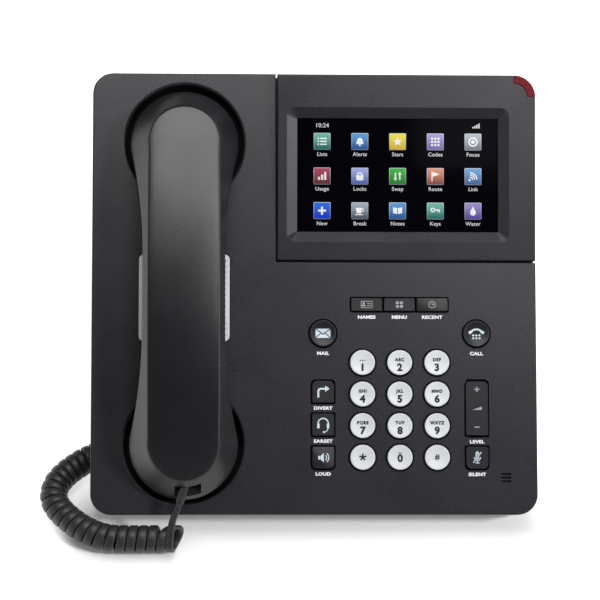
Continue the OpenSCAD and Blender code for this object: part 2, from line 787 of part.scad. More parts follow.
// Solid between two plans: straight sides with one ring, swelling sides with more.
module hs_loft(a, za, b, zb, rings) {
    n = len(a);
    h = n / 2;
    points = [for (k = [0:rings]) for (j = [0:n - 1])
        let(q = k / rings, s = swell_up(q), u = swell_in(q))
        [a[j][0] + s * (b[j][0] - a[j][0]), a[j][1] + s * (b[j][1] - a[j][1]), za[j] + u * (zb[j] - za[j])]];
    top = rings * n;
    faces = concat(
        [for (k = [0:rings - 1]) for (j = [0:n - 1]) let(m = (j + 1) % n)
            [k * n + j, k * n + m, k * n + n + m]],
        [for (k = [0:rings - 1]) for (j = [0:n - 1]) let(m = (j + 1) % n)
            [k * n + j, k * n + n + m, k * n + n + j]],
        [[top, top + 1, top + n - 1], [top + h - 1, top + h, top + h + 1]],
        [for (j = [1:h - 2]) [top + j, top + j + 1, top + n - j - 1, top + n - j]],
        [[n - 1, 1, 0], [h + 1, h, h - 1]],
        [for (j = [1:h - 2]) [n - j, n - j - 1, j + 1, j]]
    );
    polyhedron(points, faces);
}

function heights_back(p, drop) = [for (q = p) hs_back(q[1]) - drop];
function heights_line(drop) = let(rim = hs_plan(hs_head_r, hs_waist), flat = hs_plan(hs_flat, hs_flat))
    [for (i = [0:len(rim) - 1]) hs_back(flat[i][1]) - hs_slope * norm(rim[i] - flat[i]) - drop];
function heights_under(p, lift) = [for (q = p) hs_under(q[1]) + lift];

module on_handset() {
    on_face() translate([hs_x, hs_mid, 0]) children();
}

// Outer half of the handset: flat arched back and sloping sides.
module handset_shell() color([0.15, 0.15, 0.16]) on_handset() {
    low = hs_plan(hs_head_r, hs_waist);
    high = hs_plan(hs_flat, hs_flat);
    low_in = hs_plan(hs_head_r - hs_wall, hs_waist - hs_wall);
    high_in = hs_plan(hs_flat - hs_wall, hs_flat - hs_wall);
    difference() {
        hs_loft(low, heights_line(0), high, heights_back(high, 0), 1);
        hs_loft(low_in, heights_line(0.5), high_in, heights_back(high_in, hs_wall), 1);
        translate([hs_plug_x - 4, -hs_mid, hs_plug_z - recess_h / 2]) cube([recess_w, sock_y + 4, recess_h]);
        translate([hs_plug_x - 5.1, sock_y - 0.1 - hs_mid, hs_plug_z - sock_h / 2 - 0.1])
            cube([sock_w + 0.2, sock_l + 0.3, sock_h + 0.2]);
    }
}

// Inner half with the ear and mouth faces.
module handset_cover() color([0.14, 0.14, 0.15]) on_handset() {
    low = hs_plan(hs_cap_r, hs_cap_waist);
    high = hs_plan(hs_head_r, hs_waist);
    low_in = hs_plan(hs_cap_r - hs_wall, hs_cap_waist - hs_wall);
    high_in = hs_plan(hs_head_r - hs_wall, hs_waist - hs_wall);
    difference() {
        hs_loft(low, heights_under(low, 0), high, heights_line(0), 5);
        hs_loft(low_in, heights_under(low_in, hs_wall), high_in, heights_line(-0.5), 5);
        translate([0, hs_half + ear_in, ear_z - 1]) for (a = [0:60:300]) rotate([0, 0, a])
            translate([5, 0, 0]) cylinder(r = 1.2, h = 4);
        translate([0, hs_half + ear_in, ear_z - 1]) cylinder(r = 1.2, h = 4);
        for (s = [-1, 0, 1]) translate([s * 4, -hs_half - mouth_in, ear_z - 1]) cylinder(r = 0.9, h = 4);
    }
}

module ear_capsule() color([0.4, 0.4, 0.42]) on_handset() translate([0, hs_half + ear_in, ear_z + hs_wall])
    cylinder(r = 11.4, h = 6);

module mouth_capsule() color([0.4, 0.4, 0.42]) on_handset()
    translate([0, -hs_half - mouth_in, ear_z + hs_wall]) cylinder(r = 6, h = 5);

module handset_socket() color([0.07, 0.07, 0.07]) on_handset() translate([hs_plug_x, -hs_mid, hs_plug_z])
    difference() {
        translate([-5, sock_y, -sock_h / 2]) cube([sock_w, sock_l, sock_h]);
        translate([-plug_w / 2 - plug_gap, sock_y - 1, -plug_h / 2 - plug_gap])
            cube([plug_w + 2 * plug_gap, sock_l - 1, plug_h + 2 * plug_gap]);
    }

// Plug of the cord with its short sleeve, in the lower end of the handset.
module handset_plug() color([0.1, 0.1, 0.1]) on_handset() translate([hs_plug_x, -hs_mid, hs_plug_z]) {
    translate([-plug_w / 2, sock_y - 3.5, -plug_h / 2]) cube([plug_w, 15, plug_h]);
    translate([0, sock_y - 3, 0]) rotate([90, 0, -sleeve_turn]) cylinder(r = lead_d / 2 + 0.3, h = sleeve_l);
}

module base_plug() color([0.1, 0.1, 0.1]) on_face() translate([jack_x[0], jack_y, -body_t]) {
    translate([-plug_w / 2, -plug_h / 2, -2]) cube([plug_w, plug_h, 11]);
    translate([0, 0, -7]) cylinder(r = lead_d / 2 + 0.6, h = 6);
}

// Smooth path through route points.
function mid_way(a, b, c, d, t) = 0.5 * (
    2 * b + (c - a) * t + (2 * a - 5 * b + 4 * c - d) * t * t + (3 * b - a - 3 * c + d) * t * t * t);
function smooth(p, n) = let(m = len(p) - 1) concat(
    [for (i = [0:m - 1]) for (k = [0:n - 1])
        mid_way(p[max(i - 1, 0)], p[i], p[i + 1], p[min(i + 2, m)], k / n)],
    [p[m]]
);
function unit(v) = v / norm(v);
function along(p, i) = unit(p[min(i + 1, len(p) - 1)] - p[max(i - 1, 0)]);

// Round tube along a path: side is a direction that the path never takes.
module tube(path, r, n, side) {
    m = len(path) - 1;
    points = [for (i = [0:m]) let(t = along(path, i), a = unit(cross(t, side)), b = cross(t, a))
        for (k = [0:n - 1]) path[i] + r * (cos(360 * k / n) * a + sin(360 * k / n) * b)];
    faces = concat(
        [[for (k = [0:n - 1]) k]],
        [for (i = [0:m - 1]) for (k = [0:n - 1]) [i * n + k, (i + 1) * n + k, (i + 1) * n + (k + 1) % n]],
        [for (i = [0:m - 1]) for (k = [0:n - 1]) [i * n + k, (i + 1) * n + (k + 1) % n, i * n + (k + 1) % n]],
        [[for (k = [n - 1:-1:0]) m * n + k]]
    );
    polyhedron(points, faces);
}

// Route of the coil on the desk: in front of the phone, round its left side and under it.
coil_z = coil_d / 2 + 0.1;
coil_route = [
    [-72.5, -116.4, 1.6], [-80, -115.6, 0.2], [-98, -115.6, 0], [-111, -114.8, 0], [-122.4, -110.2, 0],
    [-132.3, -102.7, 0], [-138.8, -95, 0], [-140.9, -88.6, 0], [-139.7, -81.7, 0], [-135.5, -75.2, 0],
    [-129, -69.2, 0], [-121.5, -64.2, 0], [-102, -54.4, 0], [-82, -45, 0], [-62, -34, 0],
    [-44, -20, 0], [-36, -4, 0]
];
coil_points = [for (q = coil_route) [q[0], q[1], coil_z + q[2]]];

function lead_at(d) = to_world([
    hs_x + hs_plug_x - (sleeve_l + d) * sin(sleeve_turn),
    sock_y - 3 - (sleeve_l + d) * cos(sleeve_turn),
    hs_plug_z
]);
lead_points = [
    lead_at(0), lead_at(1.5), lead_at(3), [-74.9, -112.2, 26.5], [-76.3, -113.2, 21.5],
    [-77.2, -114.2, 16.5], [-77.5, -115.2, coil_z + 3.5]
];

function tail_at(d) = to_world([jack_x[0], jack_y, -body_t - 7 - d]);
tail_points = [
    [-36, -4, coil_z], [-33, 4, 6], [-30, 12, 8], [-28, 18, 18], [-28, 18, 30],
    tail_at(6), tail_at(3), tail_at(0)
];

module cord_coil() color([0.11, 0.11, 0.12]) tube(smooth(coil_points, 3), coil_d / 2, 12, [0, 0, 1]);

module cord_lead() color([0.11, 0.11, 0.12]) tube(smooth(lead_points, 4), lead_d / 2, 8, [1, 0, 0]);

module cord_tail() color([0.11, 0.11, 0.12]) tube(smooth(tail_points, 4), lead_d / 2, 8, [1, 0, 0]);

// Places its children, drawn with the leg hanging down from the hinge, in the stand's own slope.
module on_stand() {
    translate(stand_at) rotate([stand_lean, 0, 0]) children();
}

module stand() color([0.16, 0.16, 0.18]) difference() {
    on_stand() difference() {
        union() {
            translate([-stand_w / 2, -leg_t / 2, -28]) cube([stand_w, leg_t, 22]);
            for (s = [-1, 1]) {
                translate([s * knuckle_x - knuckle_w / 2, -leg_t / 2, -7]) cube([knuckle_w, leg_t, 7]);
                translate([s * knuckle_x - knuckle_w / 2, 0, 0]) rotate([0, 90, 0])
                    cylinder(r = knuckle_r, h = knuckle_w);
                translate([s * leg_x - leg_w / 2, -leg_t / 2, -120]) cube([leg_w, leg_t, 100]);
                translate([s * leg_x - 2, 0, -120]) cube([4, leg_t / 2 + 4, 110]);
            }
        }
        for (s = [-1, 1]) translate([s * knuckle_x - 20, 0, 0]) rotate([0, 90, 0])
            cylinder(r = stand_pin_r + press_gap, h = 40);
    }
    below(foot_t);
}

module stand_pins() color([0.7, 0.7, 0.72]) on_stand() for (s = [-1, 1])
    translate([s * knuckle_x - 12, 0, 0]) rotate([0, 90, 0]) cylinder(r = stand_pin_r, h = 24);

// Rubber pads under the stand legs.
module stand_pads() color([0.09, 0.09, 0.09]) for (s = [-1, 1])
    translate([s * leg_x, stand_at[1] + (stand_at[2] - foot_t) * tan(stand_lean) + 1, foot_t / 2])
        cube([leg_w - 4, foot_l, foot_t], center = true);

front_housing();
rear_pan();
case_screws();
base_feet();
speaker_grille();
loudspeaker();
handsfree_mic();
main_board();
key_mat();
hook_plunger();
cord_sockets();
network_sockets();
display_bezel();
display_back();
display_glass();
display_panel();
display_pins();
message_lamp();
key_1();
key_2();
key_3();
key_4();
key_5();
key_6();
key_7();
key_8();
key_9();
key_star();
key_0();
key_hash();
key_names();
key_menu();
key_recent();
key_mail();
key_call();
key_divert();
key_earset();
key_loud();
key_level();
key_silent();
handset_shell();
handset_cover();
ear_capsule();
mouth_capsule();
handset_socket();
handset_plug();
cord_lead();
cord_coil();
cord_tail();
base_plug();
stand();
stand_pins();
stand_pads();
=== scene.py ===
"""Looks of a desk telephone: finishes, legends, screen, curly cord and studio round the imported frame."""

import json
import logging
import math
from bisect import bisect_right
from dataclasses import dataclass, field
from enum import Enum
from typing import Callable, Optional, Protocol, Sequence, Union

import bmesh
import bpy
from mathutils import Matrix, Vector
from mathutils.bvhtree import BVHTree


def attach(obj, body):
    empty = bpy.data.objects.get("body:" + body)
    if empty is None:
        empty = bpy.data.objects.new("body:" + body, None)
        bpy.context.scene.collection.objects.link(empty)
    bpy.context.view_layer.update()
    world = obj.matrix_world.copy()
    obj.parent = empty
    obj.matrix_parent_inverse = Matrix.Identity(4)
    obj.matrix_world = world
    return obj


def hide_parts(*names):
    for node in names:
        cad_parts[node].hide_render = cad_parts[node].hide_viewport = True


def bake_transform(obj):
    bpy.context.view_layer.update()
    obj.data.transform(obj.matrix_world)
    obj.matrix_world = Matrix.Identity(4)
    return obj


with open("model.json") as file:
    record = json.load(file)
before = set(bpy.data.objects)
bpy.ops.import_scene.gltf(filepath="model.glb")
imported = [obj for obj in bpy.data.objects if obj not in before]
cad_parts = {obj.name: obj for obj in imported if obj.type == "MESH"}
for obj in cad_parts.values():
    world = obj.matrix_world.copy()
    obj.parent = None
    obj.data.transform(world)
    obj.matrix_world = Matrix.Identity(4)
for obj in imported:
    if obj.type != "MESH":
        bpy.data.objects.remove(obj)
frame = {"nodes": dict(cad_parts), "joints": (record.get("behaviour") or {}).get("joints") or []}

LOG = logging.getLogger("telephone")
MM = 0.001
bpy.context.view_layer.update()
NODES = frame["nodes"]
AXIS_OF = {joint["name"]: Vector(joint["axis"]) for joint in frame["joints"]}

# Rounded edges of the dressed nodes: welding distance, flatness, steps and the angle of a real edge
WELD_MM = 0.002
FLAT_DEG = 0.4
EDGE_STEPS = 2
EDGE_DEG = 40.0
# Distance under which points of an own shape are merged
MERGE_MM = 1e-4
# Height over a working frame from which a print is lowered onto its node
DROP_FROM = 200.0
# Usual distance between letters, and steps of their curves
LETTER_SPACING = 1.06
LETTER_STEPS = 3
# Radius of the painted shade round the dial's openings, which stands in for the shade in the gaps, and the
# softness of its edges
DIAL_GAP_SHADE_R = 7.8
GAP_SHADE_BLUR = 0.1
# Heights over the face between which painted shade darkens the key feet, the key openings and the handset
# wells
FOOT_FADE = (-0.2, -1.0)
KEY_FADE = (-0.03, -0.2)
WELL_FADE = (-0.5, -2.2)
# Distances past the handset's heads between which the wells' painted shade begins, and the soft edge of the
# key field's painted shade
WELL_EDGE = (6.5, 4.5)
FIELD_EDGE = 1.0
# Painted shade: tone that a finish loses deep inside an opening; and roughness that it gains there
DEPTH_SHADE = 0.97
DEPTH_ROUGH = 0.6
# Unevenness of the roughness by the drift and by the grain
DRIFT_ROUGH = 0.12
GRAIN_ROUGH = 0.08

Colour = tuple[float, float, float]
Point = tuple[float, float, float]
Span = tuple[float, float]
Value = Union["Signal", float]


def srgb(red: float, green: float, blue: float) -> Colour:
    """Give the linear colour of a screen colour.

    Args:
        red: Red from 0 to 255.
        green: Green from 0 to 255.
        blue: Blue from 0 to 255.

    Returns:
        The three linear values.
    """
    def linear(level: float) -> float:
        """Undo the screen curve of one level."""
        share = level / 255
        return share / 12.92 if share <= 0.04045 else ((share + 0.055) / 1.055) ** 2.4

    return linear(red), linear(green), linear(blue)


class Signal:
    """One value of a shader, whose operators add Math nodes."""

    def __init__(self, shader: "Shader", output: bpy.types.NodeSocket) -> None:
        """Wrap an output socket of a shader's node."""
        self.shader = shader
        self.output = output

    def _math(self, operation: str, first: Value, second: Value = 0.0) -> "Signal":
        """Add one Math node over two values."""
        node = self.shader.node("ShaderNodeMath", {"operation": operation}, {0: first, 1: second})
        return Signal(self.shader, node.outputs[0])

    def __add__(self, other: Value) -> "Signal":
        """Add a value."""
        return self._math("ADD", self, other)

    def __radd__(self, other: Value) -> "Signal":
        """Add to a number."""
        return self._math("ADD", other, self)

    def __sub__(self, other: Value) -> "Signal":
        """Take a value away."""
        return self._math("SUBTRACT", self, other)

    def __rsub__(self, other: Value) -> "Signal":
        """Take from a number."""
        return self._math("SUBTRACT", other, self)

    def __mul__(self, other: Value) -> "Signal":
        """Multiply by a value."""
        return self._math("MULTIPLY", self, other)

    def __rmul__(self, other: Value) -> "Signal":
        """Multiply a number."""
        return self._math("MULTIPLY", other, self)

    def __pow__(self, other: Value) -> "Signal":
        """Raise to a power."""
        return self._math("POWER", self, other)

    def most(self, other: Value) -> "Signal":
        """Take the larger of two values."""
        return self._math("MAXIMUM", self, other)

    def fold(self, half: float) -> "Signal":
        """Measure the distance to the nearest of lines that lie two halves apart."""
        return self._math("PINGPONG", self, half)

    def ramp(self, low: float, high: float) -> "Signal":
        """Rise smoothly from 0 at one level to 1 at another.

        Args:
            low: Level where the result is 0.
            high: Level where the result is 1, which may lie below the other.

        Returns:
            The smoothed share.
        """
        settings = {"interpolation_type": "SMOOTHSTEP"}
        node = self.shader.node("ShaderNodeMapRange", settings, {0: self, 1: low, 2: high})
        return Signal(self.shader, node.outputs[0])


class Shader:
    """The node tree of a material or of the world."""

    def __init__(self, owner: Union[bpy.types.Material, bpy.types.World]) -> None:
        """Start an empty tree.

        Args:
            owner: Material or world that the tree belongs to.
        """
        owner.use_nodes = True
        self.tree = owner.node_tree
        self.tree.nodes.clear()

    def node(self, kind: str, settings: Optional[dict] = None,
             inputs: Optional[dict] = None) -> bpy.types.Node:
        """Add a node.

        Args:
            kind: Blender's name of the node's type.
            settings: Attributes to set first.
            inputs: Values, signals or output sockets, by the name or number of the input.

        Returns:
            The new node.
        """
        made = self.tree.nodes.new(kind)
        for key, value in (settings or {}).items():
            setattr(made, key, value)
        for key, value in (inputs or {}).items():
            source = value.output if isinstance(value, Signal) else value
            if isinstance(source, bpy.types.NodeSocket):
                self.tree.links.new(source, made.inputs[key])
            else:
                made.inputs[key].default_value = source
        return made

    def point(self) -> bpy.types.NodeSocket:
        """Give the place on the object."""
        return self.node("ShaderNodeTexCoord").outputs["Object"]

    def rays(self) -> tuple[Signal, Signal]:
        """Tell what looks at a place.

        Returns:
            1 for the camera's own view, and 1 for a view by way of a mirroring or clear surface.
        """
        path = self.node("ShaderNodeLightPath").outputs
        mirrored = Signal(self, path["Is Glossy Ray"]) + Signal(self, path["Is Transmission Ray"])
        return Signal(self, path["Is Camera Ray"]), mirrored

    def noise(self, place: bpy.types.NodeSocket, size_mm: float, detail: float = 2.0) -> Signal:
        """Add a cloudy value round 0.5.

        Args:
            place: Coordinates to read.
            size_mm: Size of the clouds.
            detail: Number of finer layers.

        Returns:
            The value.
        """
        inputs = {"Vector": place, "Scale": 1 / (size_mm * MM), "Detail": detail}
        return Signal(self, self.node("ShaderNodeTexNoise", None, inputs).outputs[0])

    def along(self, place: bpy.types.NodeSocket, direction: Vector, start: Vector) -> Signal:
        """Measure how far a place lies along a direction, in millimetres.

        Args:
            place: Coordinates to read.
            direction: Unit vector in the object's frame.
            start: Point in metres where the measure is 0.

        Returns:
            The distance.
        """
        settings = {"operation": "DOT_PRODUCT"}
        node = self.node("ShaderNodeVectorMath", settings, {0: place, 1: direction})
        return (Signal(self, node.outputs["Value"]) - start.dot(direction)) * (1 / MM)

    def tint(self, colour: Colour, tone: Value) -> bpy.types.NodeSocket:
        """Scale a colour by a tone."""
        settings = {"operation": "SCALE"}
        return self.node("ShaderNodeVectorMath", settings, {0: colour, "Scale": tone}).outputs[0]

    def blend(self, share: Value, first: Colour, second: Colour) -> bpy.types.NodeSocket:
        """Mix two colours."""
        inputs = {0: share, 6: (*first, 1.0), 7: (*second, 1.0)}
        return self.node("ShaderNodeMix", {"data_type": "RGBA"}, inputs).outputs[2]

    def finish(self, surface: bpy.types.NodeSocket, kind: str = "ShaderNodeOutputMaterial") -> None:
        """Join a surface to the output."""
        self.node(kind, None, {"Surface": surface})


@dataclass(frozen=True)
class Slope:
    """A flat working frame in millimetres: x across, y up the slope, z outward."""

    origin: Vector
    across: Vector
    upward: Vector
    outward: Vector

    @classmethod
    def on_node(cls, node: str, outward: Vector) -> "Slope":
        """Lay a frame on a node, with y = 0 at its lower edge and z = 0 at its highest face.

        Args:
            node: Name of the CAD node.
            outward: Direction that its face looks.

        Returns:
            The frame, with x = 0 in the middle plane of the object.
        """
        out = outward.normalized()
        across = Vector((1, 0, 0))
        up = out.cross(across)
        corners = [vertex.co for vertex in NODES[node].data.vertices]
        low = min(corner.dot(up) for corner in corners)
        high = max(corner.dot(out) for corner in corners)
        return cls(up * low + out * high, across, up, out)

    def matrix(self) -> Matrix:
        """Give the step from this frame's millimetres to the object's metres."""
        turn = Matrix((self.across, self.upward, self.outward)).transposed().to_4x4()
        return Matrix.Translation(self.origin) @ turn @ Matrix.Scale(MM, 4)

    def box(self, node: str) -> tuple[Vector, Vector]:
        """Measure a CAD node in this frame.

        Args:
            node: Name of the CAD node.

        Returns:
            Its lowest and highest corner in millimetres.
        """
        back = self.matrix().inverted()
        corners = [back @ vertex.co for vertex in NODES[node].data.vertices]
        low = Vector(min(corner[k] for corner in corners) for k in range(3))
        high = Vector(max(corner[k] for corner in corners) for k in range(3))
        return low, high

    def middle(self, node: str) -> Vector:
        """Give the middle of a CAD node, at the height of its top."""
        low, high = self.box(node)
        return Vector(((low.x + high.x) / 2, (low.y + high.y) / 2, high.z))


def facing(node: str) -> Vector:
    """Give the direction, turned upward, of the largest flat face of a CAD node."""
    normal = max(NODES[node].data.polygons, key=lambda face: face.area).normal
    return normal if normal.z > 0 else -normal


FACE = Slope.on_node("front_housing", AXIS_OF["handset_lift"])
HEAD = Slope.on_node("display_bezel", facing("display_glass"))
DESK = Slope(Vector(), Vector((1, 0, 0)), Vector((0, 1, 0)), Vector((0, 0, 1)))
DOWN = Vector((0, 0, -1))


class Surface(Protocol):
    """What a piece can be made of."""

    def material(self) -> bpy.types.Material:
        """Make the material, or find it if it is made already."""


class PaintedShade(Enum):
    """Where a finish gets painted shade below the face."""

    NONE = "none"
    OPENINGS = "openings"
    FOOT = "foot"


@dataclass(frozen=True)
class Finish:
    """A surface: a colour with a drifting tone, a roughness, a moulded grain, and where asked painted shade
    in the openings.
    """

    name: str
    colour: Colour
    roughness: float
    specular: float = 0.5
    metallic: float = 0.0
    grain_mm: float = 0.5
    grain_height: float = 0.0
    speckle: float = 0.03
    drift: float = 0.06
    drift_mm: float = 30.0
    recess: PaintedShade = PaintedShade.NONE

    def depth(self, shader: Shader, place: bpy.types.NodeSocket) -> Value:
        """Tell how much painted shade a place gets: how far it lies inside an opening of the face.

        Args:
            shader: Tree that is being made.
            place: Coordinates on the object.

        Returns:
            0 on the open face, rising to 1 deep inside an opening and in the painted shade round the dial's
            openings.
        """
        if self.recess is PaintedShade.FOOT:
            return shader.along(place, FACE.outward, FACE.origin).ramp(*FOOT_FADE)
        return self.openings(shader, place) if self.recess is PaintedShade.OPENINGS else 0.0

    def openings(self, shader: Shader, place: bpy.types.NodeSocket) -> Signal:
        """Find where painted shade falls: the walls of the handset wells, the key openings, and the face
        round the dial's openings.

        Args:
            shader: Tree that is being made.
            place: Coordinates on the object.

        Returns:
            0 on the open face, rising to 1 towards the floor of an opening and in the painted shade round the
            dial's openings.
        """
        x = shader.along(place, FACE.across, FACE.origin)
        y = shader.along(place, FACE.upward, FACE.origin)
        z = shader.along(place, FACE.outward, FACE.origin)
        low, high = FACE.box("handset_shell")
        axis_x = (low.x + high.x) / 2
        reach = (high.x - low.x) / 2
        wells: list[Signal] = []
        for axis_y in (low.y + reach, high.y - reach):
            away = ((x - axis_x) ** 2 + (y - axis_y) ** 2) ** 0.5
            wells.append(away.ramp(*(reach + edge for edge in WELL_EDGE)))
        # Painted shade: the wells' walls and the key openings turn dark below the face, and a dark ring lies
        # round each dial opening
        inside = wells[0].most(wells[1]) * z.ramp(*WELL_FADE)
        low, high = FACE.box("key_mat")
        keys = x.ramp(low.x - FIELD_EDGE, low.x) * x.ramp(high.x + FIELD_EDGE, high.x)
        keys = keys * y.ramp(low.y - FIELD_EDGE, low.y) * y.ramp(high.y + FIELD_EDGE, high.y)
        return inside.most(keys * z.ramp(*KEY_FADE)).most(self.dial_gap_shade(x, y))

    @staticmethod
    def dial_gap_shade(x: Signal, y: Signal) -> Signal:
        """Find the painted shade round the dial's openings, which lie in even rows: a dark ring on the face
        that stands in for the shade in the gaps.

        Args:
            x: Distance across the face.
            y: Distance up the face.

        Returns:
            1 inside a rim, 0 elsewhere.
        """
        first, last = FACE.middle("key_1"), FACE.middle("key_hash")
        half = Vector(((last.x - first.x) / 4, (first.y - last.y) / 6))
        away = ((x - first.x).fold(half.x) ** 2 + (y - last.y).fold(half.y) ** 2) ** 0.5
        rows = (y - last.y).ramp(-half.y, GAP_SHADE_BLUR - half.y)
        rows = rows * (y - first.y).ramp(half.y, half.y - GAP_SHADE_BLUR)
        columns = (x - first.x).ramp(-half.x, GAP_SHADE_BLUR - half.x)
        columns = columns * (x - last.x).ramp(half.x, half.x - GAP_SHADE_BLUR)
        return away.ramp(DIAL_GAP_SHADE_R + GAP_SHADE_BLUR, DIAL_GAP_SHADE_R - GAP_SHADE_BLUR) * rows * columns

    def material(self) -> bpy.types.Material:
        """Make the material, or find it if it is made already.

        Returns:
            The material.
        """
        known = bpy.data.materials.get(self.name)
        if known is not None:
            return known
        made = bpy.data.materials.new(self.name)
        shader = Shader(made)
        place = shader.point()
        grain = shader.noise(place, self.grain_mm)
        cloud = shader.noise(place, self.drift_mm, 1.0)
        # Painted shade in the openings darkens the tone; the roughness also rises there
        depth = self.depth(shader, place)
        tone = (grain - 0.5) * (2 * self.speckle) + (cloud - 0.5) * (2 * self.drift) + 1.0
        rough = (cloud - 0.5) * DRIFT_ROUGH + (grain - 0.5) * GRAIN_ROUGH + self.roughness
        inputs = {
            "Base Color": shader.tint(self.colour, tone * (1.0 - depth * DEPTH_SHADE)),
            "Roughness": rough + depth * DEPTH_ROUGH,
            "Specular IOR Level": self.specular,
            "Metallic": self.metallic,
        }
        if self.grain_height:
            heights = {"Distance": self.grain_height * MM, "Height": grain}
            inputs["Normal"] = shader.node("ShaderNodeBump", None, heights).outputs[0]
        shader.finish(shader.node("ShaderNodeBsdfPrincipled", None, inputs).outputs[0])
        return made


# Painted shade darkens the handset wells, the key openings and the face round the dial's openings
HOUSING = Finish("housing_grain", srgb(40, 38, 43), 0.28, specular=0.32, grain_mm=0.8,
                 grain_height=0.035, speckle=0.34, drift=0.05, recess=PaintedShade.OPENINGS)
PAN = Finish("pan_grain", srgb(42, 41, 45), 0.5, specular=0.4, grain_mm=0.6, grain_height=0.06,
             speckle=0.2)
SATIN = Finish("handset_satin", srgb(24, 23, 27), 0.27, specular=0.58, grain_mm=0.5,
               grain_height=0.012, speckle=0.06)
# Painted shade darkens the pale keys' feet deep in their gaps
PEARL = Finish("dial_pearl", srgb(202, 205, 209), 0.34, specular=0.5, metallic=0.12, grain_mm=0.25,
               grain_height=0.004, speckle=0.03, drift_mm=9.0, recess=PaintedShade.FOOT)
# Painted shade darkens the dark keys' feet deep in their gaps
DARK_KEY = Finish("key_satin", srgb(29, 28, 32), 0.36, specular=0.38, grain_mm=0.4,
                  grain_height=0.015, speckle=0.1, recess=PaintedShade.FOOT)
GLASS = Finish("screen_glass", srgb(4, 4, 7), 0.07, specular=0.015, speckle=0.0, drift=0.1)
PANEL = Finish("panel_steel", srgb(150, 152, 156), 0.35, metallic=0.8, speckle=0.05)
LAMP = Finish("lamp_red", srgb(100, 20, 25), 0.4, specular=0.12, drift=0.2, drift_mm=6.0)
GRILLE = Finish("grille_silver", srgb(214, 216, 219), 0.38, metallic=0.25, grain_mm=0.3,
                grain_height=0.006)
RUBBER = Finish("foot_rubber", srgb(24, 24, 24), 0.8, specular=0.25, grain_mm=0.8,
                grain_height=0.05, speckle=0.15)
STEEL = Finish("screw_steel", srgb(176, 177, 180), 0.3, metallic=1.0, grain_mm=0.3,
               grain_height=0.004, drift=0.12)
SOCKET = Finish("socket_black", srgb(22, 22, 23), 0.32, grain_mm=0.4, grain_height=0.006,
                speckle=0.06)
CORD = Finish("cord_black", srgb(44, 43, 46), 0.42, specular=0.45, grain_mm=0.5,
              grain_height=0.012, speckle=0.08)
BOARD = Finish("board_green", srgb(18, 92, 52), 0.4, grain_mm=1.2, speckle=0.3, drift=0.15,
               drift_mm=8.0)
MAT = Finish("mat_silicone", srgb(92, 92, 96), 0.6, specular=0.3, grain_mm=0.6, grain_height=0.02)
CAPSULE = Finish("capsule_cloth", srgb(96, 97, 100), 0.7, specular=0.25, grain_mm=0.4,
                 grain_height=0.06, speckle=0.2)
WHITE_PRINT = Finish("white_print", srgb(226, 227, 229), 0.5, specular=0.3, grain_mm=0.2, speckle=0.05)
BLACK_PRINT = Finish("black_print", srgb(24, 25, 29), 0.45, specular=0.3, grain_mm=0.2, speckle=0.08)
GREY_PRINT = Finish("grey_print", srgb(146, 150, 154), 0.4, specular=0.4, grain_mm=0.3, speckle=0.06)
ICE_PRINT = Finish("ice_print", srgb(190, 205, 212), 0.4, specular=0.4, grain_mm=0.3, speckle=0.06)


